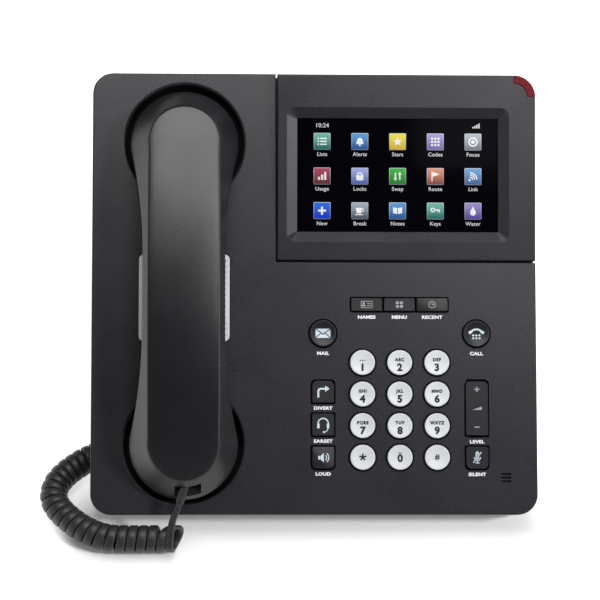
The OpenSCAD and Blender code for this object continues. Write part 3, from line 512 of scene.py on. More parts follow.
class Shape:
    """A mesh in the making, in the millimetres of a working frame."""

    def __init__(self) -> None:
        """Start with nothing."""
        self.bm = bmesh.new()

    def add(self, other: "Shape", place: Matrix) -> None:
        """Add a moved copy of another shape.

        Args:
            other: Shape to copy.
            place: Move in this shape's frame.
        """
        scratch = bpy.data.meshes.new("scratch")
        other.bm.to_mesh(scratch)
        scratch.transform(place)
        self.bm.from_mesh(scratch)
        bpy.data.meshes.remove(scratch)

    def move(self, step: Vector) -> None:
        """Shift everything by a step."""
        bmesh.ops.translate(self.bm, verts=list(self.bm.verts), vec=step)

    def loft(self, rings: Sequence[Sequence[Vector]], capped: bool = False) -> None:
        """Grow a skin from ring to ring.

        Args:
            rings: Rings with the same number of points.
            capped: Whether flat faces close both ends.
        """
        index = self.bm.verts.layers.int.new("index")
        made = bmesh.ops.create_circle(self.bm, segments=len(rings[0]), radius=1.0, cap_ends=capped)
        for number, vertex in enumerate(made["verts"]):
            vertex[index] = number
            vertex.co = rings[0][number]
        edges = list(self.bm.edges)
        for ring in rings[1:]:
            grown = bmesh.ops.extrude_edge_only(self.bm, edges=edges)["geom"]
            fresh = {item for item in grown if isinstance(item, bmesh.types.BMVert)}
            for vertex in fresh:
                vertex.co = ring[vertex[index]]
            edges = [item for item in grown
                     if isinstance(item, bmesh.types.BMEdge) and fresh.issuperset(item.verts)]
        if capped:
            bmesh.ops.contextual_create(self.bm, geom=edges)

    def thicken(self, height: float) -> None:
        """Raise flat faces into plates.

        Args:
            height: Height of the plates.
        """
        made = bmesh.ops.extrude_face_region(self.bm, geom=list(self.bm.faces), use_keep_orig=True)
        lifted = [item for item in made["geom"] if isinstance(item, bmesh.types.BMVert)]
        bmesh.ops.translate(self.bm, verts=lifted, vec=(0, 0, height))

    def lay_on(self, node: str, slope: Slope, lift: float = 0.05, height: float = 0.03) -> None:
        """Lower flat faces onto a CAD node and give them a height.

        Args:
            node: Name of the CAD node.
            slope: Frame that the shape is drawn in.
            lift: Room that is left over the node.
            height: Thickness of the print.
        """
        back = slope.matrix().inverted()
        mesh = NODES[node].data
        tree = BVHTree.FromPolygons([back @ vertex.co for vertex in mesh.vertices],
                                    [tuple(face.vertices) for face in mesh.polygons])
        bmesh.ops.triangulate(self.bm, faces=list(self.bm.faces))
        for vertex in self.bm.verts:
            hit = tree.ray_cast(Vector((vertex.co.x, vertex.co.y, DROP_FROM)), DOWN)[0]
            vertex.co.z = hit.z + lift
        self.thicken(height)
        bmesh.ops.recalc_face_normals(self.bm, faces=list(self.bm.faces))

    def tidy(self) -> None:
        """Merge doubles and turn the faces outward."""
        bmesh.ops.remove_doubles(self.bm, verts=list(self.bm.verts), dist=MERGE_MM)
        bmesh.ops.recalc_face_normals(self.bm, faces=list(self.bm.faces))

    def make(self, name: str, slope: Slope, finish: Surface,
             smooth_deg: float = 35.0) -> bpy.types.Object:
        """End the shape as an object in the scene.

        Args:
            name: Name of the piece.
            slope: Frame that the shape was drawn in.
            finish: Surface of the piece.
            smooth_deg: Edges sharper than this stay crisp.

        Returns:
            The object, at the origin, with its place in its mesh.
        """
        mesh = bpy.data.meshes.new(name)
        self.bm.to_mesh(mesh)
        self.bm.free()
        mesh.transform(slope.matrix())
        mesh.shade_smooth()
        mesh.set_sharp_from_angle(angle=math.radians(smooth_deg))
        mesh.materials.append(finish.material())
        made = bpy.data.objects.new(name, mesh)
        bpy.context.scene.collection.objects.link(made)
        return made


def settle(piece: bpy.types.Object, body: str, slot: str, *stands_for: str) -> bpy.types.Object:
    """Hang a piece on its body and hide the nodes that it stands for.

    Args:
        piece: Object to settle.
        body: CAD body that it rides on.
        slot: Not used.
        stands_for: CAD nodes that it replaces.

    Returns:
        The same object.
    """
    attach(piece, body)
    if stands_for:
        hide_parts(*stands_for)
    LOG.info("piece %s on %s, %d faces", piece.name, body, len(piece.data.polygons))
    return piece


def dress(finish: Finish, *nodes: str, edge_mm: float = 0.0) -> None:
    """Give CAD nodes a finish and, where asked, rounded edges.

    Args:
        finish: Surface of the nodes.
        nodes: Names of the CAD nodes.
        edge_mm: Radius of the edges, or 0 to leave them.
    """
    for name in nodes:
        node = NODES[name]
        node.data.materials.clear()
        node.data.materials.append(finish.material())
        if edge_mm:
            weld = node.modifiers.new("weld", "WELD")
            weld.merge_threshold = WELD_MM * MM
            flat = node.modifiers.new("flat", "DECIMATE")
            flat.decimate_type = "DISSOLVE"
            flat.angle_limit = math.radians(FLAT_DEG)
            bevel = node.modifiers.new("edge", "BEVEL")
            bevel.width = edge_mm * MM
            bevel.segments = EDGE_STEPS
            bevel.limit_method = "ANGLE"
            bevel.angle_limit = math.radians(EDGE_DEG)
            bevel.harden_normals = True
        LOG.info("node %s in %s", name, finish.name)


class Stencil(Shape):
    """Flat signs made of discs, bars, bands and polygons."""

    disc_steps: int = 28
    corner_steps: int = 5
    band_step_deg: float = 9.0
    band_steps_least: int = 4

    def disc(self, x: float, y: float, radius: float) -> "Stencil":
        """Add a disc.

        Args:
            x: Middle across.
            y: Middle up.
            radius: Radius of the disc.

        Returns:
            This stencil.
        """
        bmesh.ops.create_circle(self.bm, cap_ends=True, segments=self.disc_steps, radius=radius,
                                matrix=Matrix.Translation((x, y, 0)))
        return self

    def bar(self, x: float, y: float, width: float, height: float, turn_deg: float = 0.0) -> "Stencil":
        """Add a bar about its middle.

        Args:
            x: Middle across.
            y: Middle up.
            width: Size across before the turn.
            height: Size up before the turn.
            turn_deg: Turn to the left.

        Returns:
            This stencil.
        """
        place = Matrix.Translation((x, y, 0)) @ Matrix.Rotation(math.radians(turn_deg), 4, "Z")
        size = Matrix.Diagonal((width, height, 1, 1))
        bmesh.ops.create_grid(self.bm, x_segments=1, y_segments=1, size=0.5, matrix=place @ size)
        return self

    def band(self, x: float, y: float, radius: float, width: float, start_deg: float = 0.0,
             sweep_deg: float = 360.0) -> "Stencil":
        """Add a round band.

        Args:
            x: Centre across.
            y: Centre up.
            radius: Radius at the middle of the band.
            width: Width of the band.
            start_deg: Angle where it starts, from the right.
            sweep_deg: Angle that it covers, to the left.

        Returns:
            This stencil.
        """
        out = Vector((math.cos(math.radians(start_deg)), math.sin(math.radians(start_deg)), 0))
        centre = Vector((x, y, 0))
        ends = [self.bm.verts.new(centre + out * (radius + side * width / 2)) for side in (-1, 1)]
        edge = self.bm.edges.new(ends)
        steps = max(self.band_steps_least, int(abs(sweep_deg) / self.band_step_deg))
        bmesh.ops.spin(self.bm, geom=[*ends, edge], cent=centre, axis=(0, 0, 1), steps=steps,
                       angle=math.radians(sweep_deg), use_merge=abs(sweep_deg) >= 360)
        return self

    def polygon(self, *points: Span) -> "Stencil":
        """Add a polygon through a few points."""
        self.bm.faces.new([self.bm.verts.new((x, y, 0)) for x, y in points])
        return self

    def plate(self, width: float, height: float, radius: float) -> "Stencil":
        """Add a rectangle with round corners about the origin.

        Args:
            width: Size across.
            height: Size up.
            radius: Radius of the corners.

        Returns:
            This stencil.
        """
        size = Matrix.Diagonal((width, height, 1, 1))
        made = bmesh.ops.create_grid(self.bm, x_segments=1, y_segments=1, size=0.5, matrix=size)
        bmesh.ops.bevel(self.bm, geom=made["verts"], offset=radius, offset_type="OFFSET",
                        segments=self.corner_steps, profile=0.5, affect="VERTICES", material=-1)
        return self

    def unwrap(self) -> "Stencil":
        """Give the faces coordinates from 0 to 1 over their box.

        Returns:
            This stencil.
        """
        layer = self.bm.loops.layers.uv.new("patch")
        xs = [vertex.co.x for vertex in self.bm.verts]
        ys = [vertex.co.y for vertex in self.bm.verts]
        low = Vector((min(xs), min(ys)))
        width, height = max(xs) - low.x, max(ys) - low.y
        for face in self.bm.faces:
            for loop in face.loops:
                place = loop.vert.co.xy - low
                loop[layer].uv = (place.x / width, place.y / height)
        return self


class Lettering:
    """Words in the built-in typeface."""

    cap_height: float = 0.0

    @classmethod
    def _mesh(cls, words: str, weight: float, spacing: float = LETTER_SPACING) -> bpy.types.Mesh:
        """Turn words into a flat mesh of size 1 about its middle line.

        Args:
            words: What to write.
            weight: How far the strokes are grown.
            spacing: Distance between the letters against the usual one.

        Returns:
            The mesh.
        """
        curve = bpy.data.curves.new("letters", "FONT")
        curve.body = words
        curve.align_x = "CENTER"
        curve.resolution_u = LETTER_STEPS
        curve.offset = weight
        curve.space_character = spacing
        carrier = bpy.data.objects.new("letters", curve)
        bpy.context.scene.collection.objects.link(carrier)
        graph = bpy.context.evaluated_depsgraph_get()
        mesh = bpy.data.meshes.new_from_object(carrier.evaluated_get(graph))
        bpy.data.objects.remove(carrier)
        bpy.data.curves.remove(curve)
        return mesh

    @classmethod
    def write(cls, target: Shape, words: str, x: float, y: float, height: float, weight: float = 0.02,
              squeeze: float = 1.0, spacing: float = LETTER_SPACING) -> None:
        """Write words on a shape.

        Args:
            target: Shape that takes the flat letters.
            words: What to write.
            x: Middle of the line across.
            y: Middle of the capitals up.
            height: Height of the capitals.
            weight: How far the strokes are grown, as a share of the type size.
            squeeze: Width of the letters against their usual width.
            spacing: Distance between the letters against the usual one.
        """
        if not cls.cap_height:
            ruler = cls._mesh("H", 0.0)
            cls.cap_height = max(vertex.co.y for vertex in ruler.vertices)
            bpy.data.meshes.remove(ruler)
        scale = height / cls.cap_height
        mesh = cls._mesh(words, weight, spacing)
        place = Matrix.Translation((x, y - height / 2, 0))
        mesh.transform(place @ Matrix.Diagonal((scale * squeeze, scale, 1, 1)))
        target.bm.from_mesh(mesh)
        bpy.data.meshes.remove(mesh)


@dataclass(frozen=True)
class SoftLamp:
    """A lamp with an even glow, placed in metres, where a radiance of 1 is as bright as a white wall."""

    name: str
    place: Point
    aim: Point
    size: Span
    radiance: float
    mirrored: bool = True
    spreads: bool = True

    def hang(self) -> None:
        """Hang the lamp, which glossy surfaces may mirror and which may light matte ones."""
        data = bpy.data.lights.new(self.name, "AREA")
        data.shape = "RECTANGLE"
        data.size, data.size_y = self.size
        data.energy = self.radiance * math.pi * self.size[0] * self.size[1]
        lamp = bpy.data.objects.new(self.name, data)
        lamp.location = self.place
        toward = Vector(self.aim) - Vector(self.place)
        lamp.rotation_euler = toward.to_track_quat("-Z", "Y").to_euler()
        lamp.visible_camera = False
        lamp.visible_glossy = self.mirrored
        lamp.visible_diffuse = self.spreads
        bpy.context.scene.collection.objects.link(lamp)


@dataclass(frozen=True)
class FloorPaper:
    """White paper that keeps the object's shadow and turns to plain white around it."""

    name: str = "floor_white"
    tone: float = 0.85
    drift: float = 0.02
    drift_mm: float = 400.0
    lift_near: float = 0.12
    lift_far: float = 0.9
    shade_back: Span = (-105.0, -60.0)
    shade_front: Span = (-128.0, -160.0)
    shade_left: Span = (-128.0, -146.0)
    dim_front: Span = (-130.0, -165.0)
    dim_back: Span = (140.0, 260.0)
    dim_left: Span = (-260.0, -160.0)
    dim: float = 0.85

    def material(self) -> bpy.types.Material:
        """Make the material, whose far ends are dim in mirroring surfaces.

        Returns:
            The material.
        """
        made = bpy.data.materials.new(self.name)
        shader = Shader(made)
        seen, mirrored = shader.rays()
        place = shader.point()
        tone = shader.noise(place, self.drift_mm, 1.0) * self.drift + self.tone
        depth = shader.along(place, DESK.upward, DESK.origin)
        across = shader.along(place, DESK.across, DESK.origin)
        clear = depth.ramp(*self.shade_back).most(depth.ramp(*self.shade_front))
        clear = clear.most(across.ramp(*self.shade_left))
        lifted = clear * (self.lift_far - self.lift_near) + self.lift_near
        ends = depth.ramp(*self.dim_front).most(depth.ramp(*self.dim_back)) * across.ramp(*self.dim_left)
        shown = seen + mirrored * (1.0 - ends * self.dim)
        tone = tone * (1.0 - mirrored * ends * self.dim)
        matte = shader.node("ShaderNodeBsdfDiffuse", None, {"Color": shader.tint((1, 1, 1), tone)})
        lift = shader.node("ShaderNodeEmission", None, {"Strength": shown * lifted})
        both = shader.node("ShaderNodeAddShader", None, {0: matte.outputs[0], 1: lift.outputs[0]})
        shader.finish(both.outputs[0])
        return made


@dataclass
class Studio:
    """Camera at the photograph's place, soft lights, a pale floor and a white surround."""

    target_mm: Point = (-7.39, 0.0, 67.36)
    distance_mm: float = 1419.15
    azimuth_deg: float = -3.3
    elevation_deg: float = 54.01
    roll_deg: float = 2.83
    lens_mm: float = 156.0
    sensor_mm: float = 36.0
    clip_m: Span = (0.05, 50.0)
    floor_m: float = 6.0
    ceiling: Span = (0.35, 0.75)
    ceiling_dim: float = 0.95
    far_back: Span = (0.5, 0.9)
    far_front: Span = (-0.6, -0.95)
    dim: float = 0.85
    fill: float = 0.1
    lamps: tuple[SoftLamp, ...] = (
        SoftLamp("softbox", (-0.005, 0.065, 0.95), (-0.005, 0.065, 0.0), (0.65, 0.57), 4.5),
        SoftLamp("wing", (0.28, -0.31, 0.95), (0.28, -0.31, 0.0), (0.3, 0.2), 4.5),
        SoftLamp("key", (0.90, -0.47, 0.87), (0.0, 0.0, 0.06), (0.18, 0.18), 125.0, mirrored=False),
        SoftLamp("side", (0.99, -0.16, 0.72), (0.0, 0.05, 0.1), (0.36, 0.36), 5.4, spreads=False),
    )

    def camera(self) -> None:
        """Place the camera."""
        azimuth, elevation = math.radians(self.azimuth_deg), math.radians(self.elevation_deg)
        back = Vector((math.sin(azimuth) * math.cos(elevation), -math.cos(azimuth) * math.cos(elevation),
                       math.sin(elevation)))
        right = Vector((math.cos(azimuth), math.sin(azimuth), 0))
        turn = Matrix.Rotation(math.radians(self.roll_deg), 3, back)
        axes = Matrix((turn @ right, turn @ back.cross(right), back)).transposed().to_4x4()
        data = bpy.data.cameras.new("camera")
        data.lens = self.lens_mm
        data.sensor_width = self.sensor_mm
        data.clip_start, data.clip_end = self.clip_m
        eye = bpy.data.objects.new("camera", data)
        place = (Vector(self.target_mm) + back * self.distance_mm) * MM
        eye.matrix_world = Matrix.Translation(place) @ axes
        bpy.context.scene.collection.objects.link(eye)
        bpy.context.scene.camera = eye

    def surround(self) -> None:
        """Make the world: white near the horizon, a dim ceiling above, a soft fill for the shading."""
        world = bpy.data.worlds.new("surround")
        bpy.context.scene.world = world
        shader = Shader(world)
        seen, mirrored = shader.rays()
        place = shader.node("ShaderNodeTexCoord").outputs["Generated"]
        parts = shader.node("ShaderNodeSeparateXYZ", None, {0: place}).outputs
        upward, away = Signal(shader, parts["Z"]), Signal(shader, parts["Y"])
        shown = 1.0 - upward.ramp(*self.ceiling) * self.ceiling_dim
        ends = away.ramp(*self.far_back).most(away.ramp(*self.far_front))
        shown = (seen + mirrored * (1.0 - ends * self.dim)) * shown
        strength = shown + (1.0 - seen - mirrored) * self.fill
        light = shader.node("ShaderNodeBackground", None, {"Color": (1, 1, 1, 1), "Strength": strength})
        shader.finish(light.outputs[0], "ShaderNodeOutputWorld")

    def floor(self) -> None:
        """Lay the pale floor."""
        side = self.floor_m / MM
        Stencil().bar(0, 0, side, side).make("floor", DESK, FloorPaper(dim=self.dim))

    def build(self) -> None:
        """Set up everything that isn't part of the object."""
        bpy.context.scene.view_settings.view_transform = "Standard"
        self.camera()
        for lamp in self.lamps:
            lamp.hang()
        self.surround()
        self.floor()
        LOG.info("studio ready")


@dataclass
class Housing:
    """The moulded body with its screws, feet, sockets and inner pieces."""

    edge_mm: float = 0.35
    foot_edge_mm: float = 0.4

    def build(self) -> None:
        """Dress the body's nodes."""
        dress(HOUSING, "front_housing", edge_mm=self.edge_mm)
        dress(PAN, "rear_pan", edge_mm=self.edge_mm)
        dress(STEEL, "case_screws")
        dress(RUBBER, "base_feet", edge_mm=self.foot_edge_mm)
        dress(SOCKET, "loudspeaker", "handsfree_mic", "hook_plunger", "cord_sockets", "network_sockets",
              "base_plug")
        dress(BOARD, "main_board")
        dress(MAT, "key_mat")


@dataclass
class SpeakerPanel:
    """The pale perforated panel under the grip."""

    pitch: float = 1.55
    hole_d: float = 0.85
    hole_sides: int = 8
    rim: float = 2.0
    sheet_t: float = 0.6
    corner_r: float = 2.6
    edge_shares: Span = (0.6, 0.1)

    def cell(self) -> Shape:
        """Make one square of the sheet with its hole.

        Returns:
            The flat square about the origin.
        """
        shape = Shape()
        bmesh.ops.create_circle(shape.bm, segments=self.hole_sides, radius=self.hole_d / 2)
        made = bmesh.ops.extrude_edge_only(shape.bm, edges=list(shape.bm.edges))
        for vertex in (item for item in made["geom"] if isinstance(item, bmesh.types.BMVert)):
            reach = max(abs(vertex.co.x), abs(vertex.co.y))
            vertex.co *= self.pitch / 2 / reach
        return shape

    def sheet(self, columns: int, rows: int) -> Shape:
        """Lay staggered rows of cells on each other.

        Args:
            columns: Cells in a row.
            rows: Number of rows.

        Returns:
            The flat sheet about the origin.
        """
        row, sheet = Shape(), Shape()
        for column in range(columns):
            row.add(self.cell(), Matrix.Translation(((column - (columns - 1) / 2) * self.pitch, 0, 0)))
        for line in range(rows):
            shift = self.pitch / 4 * (-1) ** line
            sheet.add(row, Matrix.Translation((shift, (line - (rows - 1) / 2) * self.pitch, 0)))
        sheet.tidy()
        return sheet

    def add_rim(self, sheet: Shape, half: Vector) -> None:
        """Grow the outer edge of a sheet to a rectangle with round corners.

        Args:
            sheet: Flat perforated sheet about the origin.
            half: Half of the panel's width and height.
        """
        # The edges round a hole are shorter than a third of the pitch, those of the sheet longer
        hole_edge = self.pitch / 3
        edges = [edge for edge in sheet.bm.edges if edge.is_boundary and edge.calc_length() > hole_edge]
        grown = bmesh.ops.extrude_edge_only(sheet.bm, edges=edges)["geom"]
        fresh = [item for item in grown if isinstance(item, bmesh.types.BMVert)]
        reach = Vector(max(abs(vertex.co[k]) for vertex in fresh) for k in (0, 1))
        # Points this near to a side of the sheet belong to that side of the panel
        step = Vector(self.pitch * share for share in self.edge_shares)
        for vertex in fresh:
            place = Vector((0, 0))
            for k in (0, 1):
                here = vertex.co[k]
                at_edge = abs(here) > reach[k] - step[k]
                place[k] = math.copysign(half[k], here) if at_edge else here * half[k] / reach[k]
            core = Vector(math.copysign(half[k] - self.corner_r, place[k]) for k in (0, 1))
            out = place - core
            if out.x * core.x > 0 and out.y * core.y > 0:
                place = core + out.normalized() * self.corner_r
            vertex.co = place.to_3d()

    def build(self) -> None:
        """Make the perforated sheet and its plain rim."""
        low, high = FACE.box("speaker_grille")
        half = Vector((high.x - low.x, high.y - low.y)) / 2
        columns, rows = (int(2 * (size - self.rim) / self.pitch) for size in half)
        sheet = self.sheet(columns, rows)
        self.add_rim(sheet, half)
        sheet.tidy()
        sheet.thicken(-self.sheet_t)
        sheet.tidy()
        sheet.move(FACE.middle("speaker_grille"))
        settle(sheet.make("grille_panel", FACE, GRILLE), "base", "grille", "speaker_grille")


class Side(Enum):
    """Shape of the handset's sides."""

    STRAIGHT = "straight"
    SWELLING = "swelling"


@dataclass
class Handset:
    """The handset: a flat arched back with sloping sides, over a face with two round ends."""

    waist: float = 22.2
    flat: float = 19.0
    arch: float = 7.0
    crown: float = 1.2
    head_turn: float = 8.0
    neck_share: float = 0.73
    neck_power: float = 2.1
    face_r: float = 24.0
    face_waist: float = 16.0
    grip_under: float = 9.5
    grip_end: float = 12.0
    grip_power: float = 4.5
    swell: float = 0.5
    wall: float = 3.0
    wall_lift: float = 0.4
    face_in: float = 0.45
    face_drop: float = 0.12
    face_wall_drop: float = 0.02
    edge: float = 0.8
    rim_edge: float = 0.5
    face_edge: float = 1.6
    face_rim_edge: float = 0.4
    corner_share: float = 0.6
    slot_play: float = 0.3
    slot_extra: float = 4.5
    slot_foot: float = -5.0
    socket_play: float = 0.1
    ear_out: float = 5.0
    ear_ring_r: float = 5.0
    ear_hole_r: float = 1.2
    ear_ring_holes: int = 6
    mouth_out: float = 8.0
    mouth_dx: float = 4.0
    mouth_hole_r: float = 0.9
    hole_depth: float = 4.0
    hole_steps: int = 20
    end_steps: int = 18
    grip_steps: int = 56
    side_steps: int = 6
    corner_steps: int = 4
    back_shares: tuple[float, ...] = (0.8, 0.5, 0.25)
    face_shares: tuple[float, ...] = (0.75, 0.4)
    spine_share: float = 0.2
    smooth_deg: float = 60.0
    cut_deg: float = 30.0
    plug_edge_mm: float = 0.2
    head_r: float = field(init=False)
    half: float = field(init=False)
    top: float = field(init=False)
    slope: float = field(init=False)
    under_end: float = field(init=False)
    middle: Vector = field(init=False)

    def __post_init__(self) -> None:
        """Read the main sizes from the frame."""
        low, high = FACE.box("handset_shell")
        self.head_r = (high.x - low.x) / 2
        self.half = (high.y - low.y) / 2 - self.head_r
        self.top = high.z
        self.slope = (self.back(self.half + self.flat) - low.z) / (self.head_r - self.flat)
        self.under_end = FACE.box("handset_cover")[0].z
        self.middle = Vector(((low.x + high.x) / 2, (low.y + high.y) / 2, 0))

    def plan(self, head: float, waist: float) -> list[Vector]:
        """Draw a closed plan, clockwise from the upper end.

        Args:
            head: Radius of both ends.
            waist: Half width at the middle of the grip.

        Returns:
            The points, as many for every plan.
        """
        side: list[Vector] = []
        turn = math.radians(self.head_turn)
        drop, reach = head * math.sin(turn), head * math.cos(turn) - waist
        run = 2 * (self.half - drop)
        for step in range(self.end_steps + 1):
            angle = math.pi / 2 - (math.pi / 2 + turn) * step / self.end_steps
            side.append(Vector((head * math.cos(angle), self.half + head * math.sin(angle), 0)))
        for step in range(1, self.grip_steps):
            away = run * step / self.grip_steps
            share = min(away, run - away) / (self.neck_share * self.half)
            flare = reach * max(0.0, 1 - share) ** self.neck_power
            side.append(Vector((waist + flare, self.half - drop - away, 0)))
        for step in range(self.end_steps + 1):
            angle = turn - (math.pi / 2 + turn) * step / self.end_steps
            side.append(Vector((head * math.cos(angle), -self.half + head * math.sin(angle), 0)))
        side[0].x = side[-1].x = 0
        return side + [Vector((-point.x, point.y, 0)) for point in side[-2:0:-1]]

    def back(self, v: float) -> float:
        """Height of the back at a distance from the middle."""
        return self.top - self.arch * (v / (self.half + self.flat)) ** 2

    def ridge(self, v: float) -> float:
        """Height of the back along its middle line, which falls with the crown past the ends of the grip."""
        return self.back(v) + self.crown * (1 - (max(0.0, abs(v) - self.half) / self.flat) ** 2)

    def line(self) -> list[float]:
        """Heights of the widest line, by the number of a plan's point."""
        pairs = zip(self.plan(self.head_r, self.waist), self.plan(self.flat, self.flat))
        return [self.back(inner.y) - self.slope * (outer - inner).length for outer, inner in pairs]

    def under(self, v: float) -> float:
        """Height of the inner face at a distance from the middle."""
        share = min(1.0, abs(v) / (self.half - self.grip_end))
        return self.grip_under - (self.grip_under - self.under_end) * share ** self.grip_power

    @staticmethod
    def at(plan: Sequence[Vector], heights: Union[Sequence[float], Callable[[float], float]],
           lift: float = 0.0) -> list[Vector]:
        """Raise a plan.

        Args:
            plan: Points of the plan.
            heights: Heights of the points, or a rule over the distance from the middle.
            lift: Height that is added.

        Returns:
            The raised points.
        """
        levels = [heights(point.y) for point in plan] if callable(heights) else heights
        return [Vector((point.x, point.y, level + lift)) for point, level in zip(plan, levels)]

    def round_corner(self, before: Vector, corner: Vector, after: Vector, size: float) -> list[Vector]:
        """Round a corner of a section.

        Args:
            before: Point before the corner.
            corner: The corner.
            after: Point after the corner.
            size: Length that is taken from both sides.

        Returns:
            Points along the round corner.
        """
        back, ahead = before - corner, after - corner
        start = corner + back.normalized() * min(size, back.length * self.corner_share)
        end = corner + ahead.normalized() * min(size, ahead.length * self.corner_share)
        steps = [step / self.corner_steps for step in range(self.corner_steps + 1)]
        return [start * (1 - t) ** 2 + corner * (2 * t * (1 - t)) + end * t ** 2 for t in steps]

    def sections(self, lines: Sequence[Sequence[Vector]], corners: dict[int, float]) -> list[list[Vector]]:
        """Turn key rings into rings with round corners.

        Args:
            lines: Key rings, from the first end of a section to its last.
            corners: Size of the rounding, by the number of the key ring.

        Returns:
            The finer rings.
        """
        columns: list[list[Vector]] = []
        for points in zip(*lines):
            column: list[Vector] = []
            for step, point in enumerate(points):
                if step in corners:
                    column += self.round_corner(points[step - 1], point, points[step + 1], corners[step])
                else:
                    column.append(point)
            columns.append(column)
        return [list(ring) for ring in zip(*columns)]

    def skin(self, lines: Sequence[Sequence[Vector]], corners: dict[int, float]) -> Shape:
        """Draw the closed skin of one half, whose first and last ring close on the middle line.

        Args:
            lines: Key rings of the half.
            corners: Size of the rounding, by the number of the key ring.

        Returns:
            The closed shape in its place.
        """
        shape = Shape()
        shape.loft(self.sections(lines, corners))
        shape.tidy()
        shape.move(self.middle)
        return shape

    @staticmethod
    def spine(plan: Sequence[Vector]) -> list[Vector]:
        """Draw a plan in to the middle line."""
        return [Vector((0, point.y, 0)) for point in plan]

    def side_rings(self, low: Sequence[Vector], high: Sequence[Vector], side: Side) -> list[list[Vector]]:
        """Make the rings of a side between two raised plans.

        Args:
            low: Lower plan.
            high: Upper plan.
            side: Whether the side is straight or swells.

        Returns:
            The rings between them, without the two ends.
        """
        rings: list[list[Vector]] = []
        for step in range(1, self.side_steps):
            inward = upward = step / self.side_steps
            if side is Side.SWELLING:
                turn = math.pi / 2 * inward
                inward = (1 - self.swell) * inward + self.swell * math.sin(turn)
                upward = (1 - self.swell) * upward + self.swell * (1 - math.cos(turn))
            rings.append([Vector((a.x + inward * (b.x - a.x), a.y + inward * (b.y - a.y),
                                  a.z + upward * (b.z - a.z))) for a, b in zip(low, high)])
        return rings

    def carve(self, piece: bpy.types.Object, cutter: Shape) -> None:
        """Cut a shape out of a piece's mesh.

        Args:
            piece: Object that is cut.
            cutter: Closed shapes in the frame of the face.
        """
        knife = cutter.make("knife", FACE, SOCKET)
        cut = piece.modifiers.new("cut", "BOOLEAN")
        cut.operation = "DIFFERENCE"
        cut.solver = "EXACT"
        cut.object = knife
        graph = bpy.context.evaluated_depsgraph_get()
        mesh = bpy.data.meshes.new_from_object(piece.evaluated_get(graph))
        piece.modifiers.clear()
        piece.data = mesh
        mesh.set_sharp_from_angle(angle=math.radians(self.cut_deg))
        bpy.data.objects.remove(knife)

    @staticmethod
    def box(low: Vector, high: Vector) -> Shape:
        """Make a box.

        Args:
            low: Its lowest corner.
            high: Its highest corner.

        Returns:
            The box.
        """
        shape = Shape()
        place = Matrix.Translation((low + high) / 2) @ Matrix.Diagonal((*(high - low), 1))
        bmesh.ops.create_cube(shape.bm, size=1.0, matrix=place)
        return shape

    def build_back(self) -> None:
        """Make the outer half with its flat back and the recess for the plug."""
        rim = self.plan(self.head_r, self.waist)
        inner = self.plan(self.head_r - self.wall, self.waist - self.wall)
        line = self.line()
        low, high = self.at(rim, line), self.at(self.plan(self.flat, self.flat), self.back)
        lines = [self.at(self.spine(inner), line, self.wall_lift), self.at(inner, line, self.wall_lift)]
        corners = {len(lines): self.rim_edge}
        lines += [low, *self.side_rings(low, high, Side.STRAIGHT), high]
        corners[len(lines) - 1] = self.edge
        for share in self.back_shares:
            plan = self.plan(self.flat * share, self.flat * share)
            lines.append(self.at(plan, self.back, self.crown * (1 - share ** 2)))
        plan = self.plan(self.flat * self.spine_share, self.flat * self.spine_share)
        lines.append(self.at(self.spine(plan), self.ridge))
        piece = self.skin(lines, corners).make("handset_back", FACE, SATIN, self.smooth_deg)
        plug_low, plug_high = FACE.box("handset_plug")
        socket_low, socket_high = FACE.box("handset_socket")
        slot_low = Vector((plug_low.x - self.slot_play, self.slot_foot, plug_low.z - self.slot_play))
        slot_high = Vector((plug_high.x + self.slot_extra, socket_low.y + self.socket_play,
                            plug_high.z + self.slot_play))
        self.carve(piece, self.box(slot_low, slot_high))
        play = Vector((self.socket_play, self.socket_play, self.socket_play))
        self.carve(piece, self.box(socket_low - play, socket_high + play))
        settle(piece, "handset", "handset", "handset_shell")

    def holes(self) -> Shape:
        """Make the cutters of the holes before the ear and the mouth.

        Returns:
            The round cutters.
        """
        ear = Vector((0, self.half + self.ear_out))
        holes = [(ear, self.ear_hole_r)]
        for k in range(self.ear_ring_holes):
            turn = k * math.pi / (self.ear_ring_holes / 2)
            out = Vector((self.ear_ring_r * math.cos(turn), self.ear_ring_r * math.sin(turn)))
            holes.append((ear + out, self.ear_hole_r))
        for k in (-1, 0, 1):
            holes.append((Vector((self.mouth_dx * k, -self.half - self.mouth_out)), self.mouth_hole_r))
        drill = Shape()
        for centre, radius in holes:
            place = Matrix.Translation(self.middle + Vector((centre.x, centre.y, self.under_end)))
            bmesh.ops.create_cone(drill.bm, cap_ends=True, segments=self.hole_steps, radius1=radius,
                                  radius2=radius, depth=self.hole_depth, matrix=place)
        return drill

    def build_face(self) -> None:
        """Make the inner half with the ear and mouth faces and their holes."""
        rim = self.plan(self.head_r - self.face_in, self.waist - self.face_in)
        inner = self.plan(self.head_r - self.wall, self.waist - self.wall)
        face = self.plan(self.face_r, self.face_waist)
        line = self.line()
        low, high = self.at(face, self.under), self.at(rim, line, -self.face_drop)
        lines = [self.at(self.spine(inner), line, -self.face_wall_drop),
                 self.at(inner, line, -self.face_wall_drop)]
        corners = {len(lines): self.face_rim_edge}
        lines += [high, *self.side_rings(low, high, Side.SWELLING)[::-1], low]
        corners[len(lines) - 1] = self.face_edge
        for share in self.face_shares:
            lines.append(self.at(self.plan(self.face_r * share, self.face_waist * share), self.under))
        plan = self.plan(self.face_r * self.spine_share, self.face_waist * self.spine_share)
        lines.append(self.at(self.spine(plan), self.under))
        piece = self.skin(lines, corners).make("handset_face", FACE, SATIN, self.smooth_deg)
        self.carve(piece, self.holes())
        settle(piece, "handset", "handset", "handset_cover")

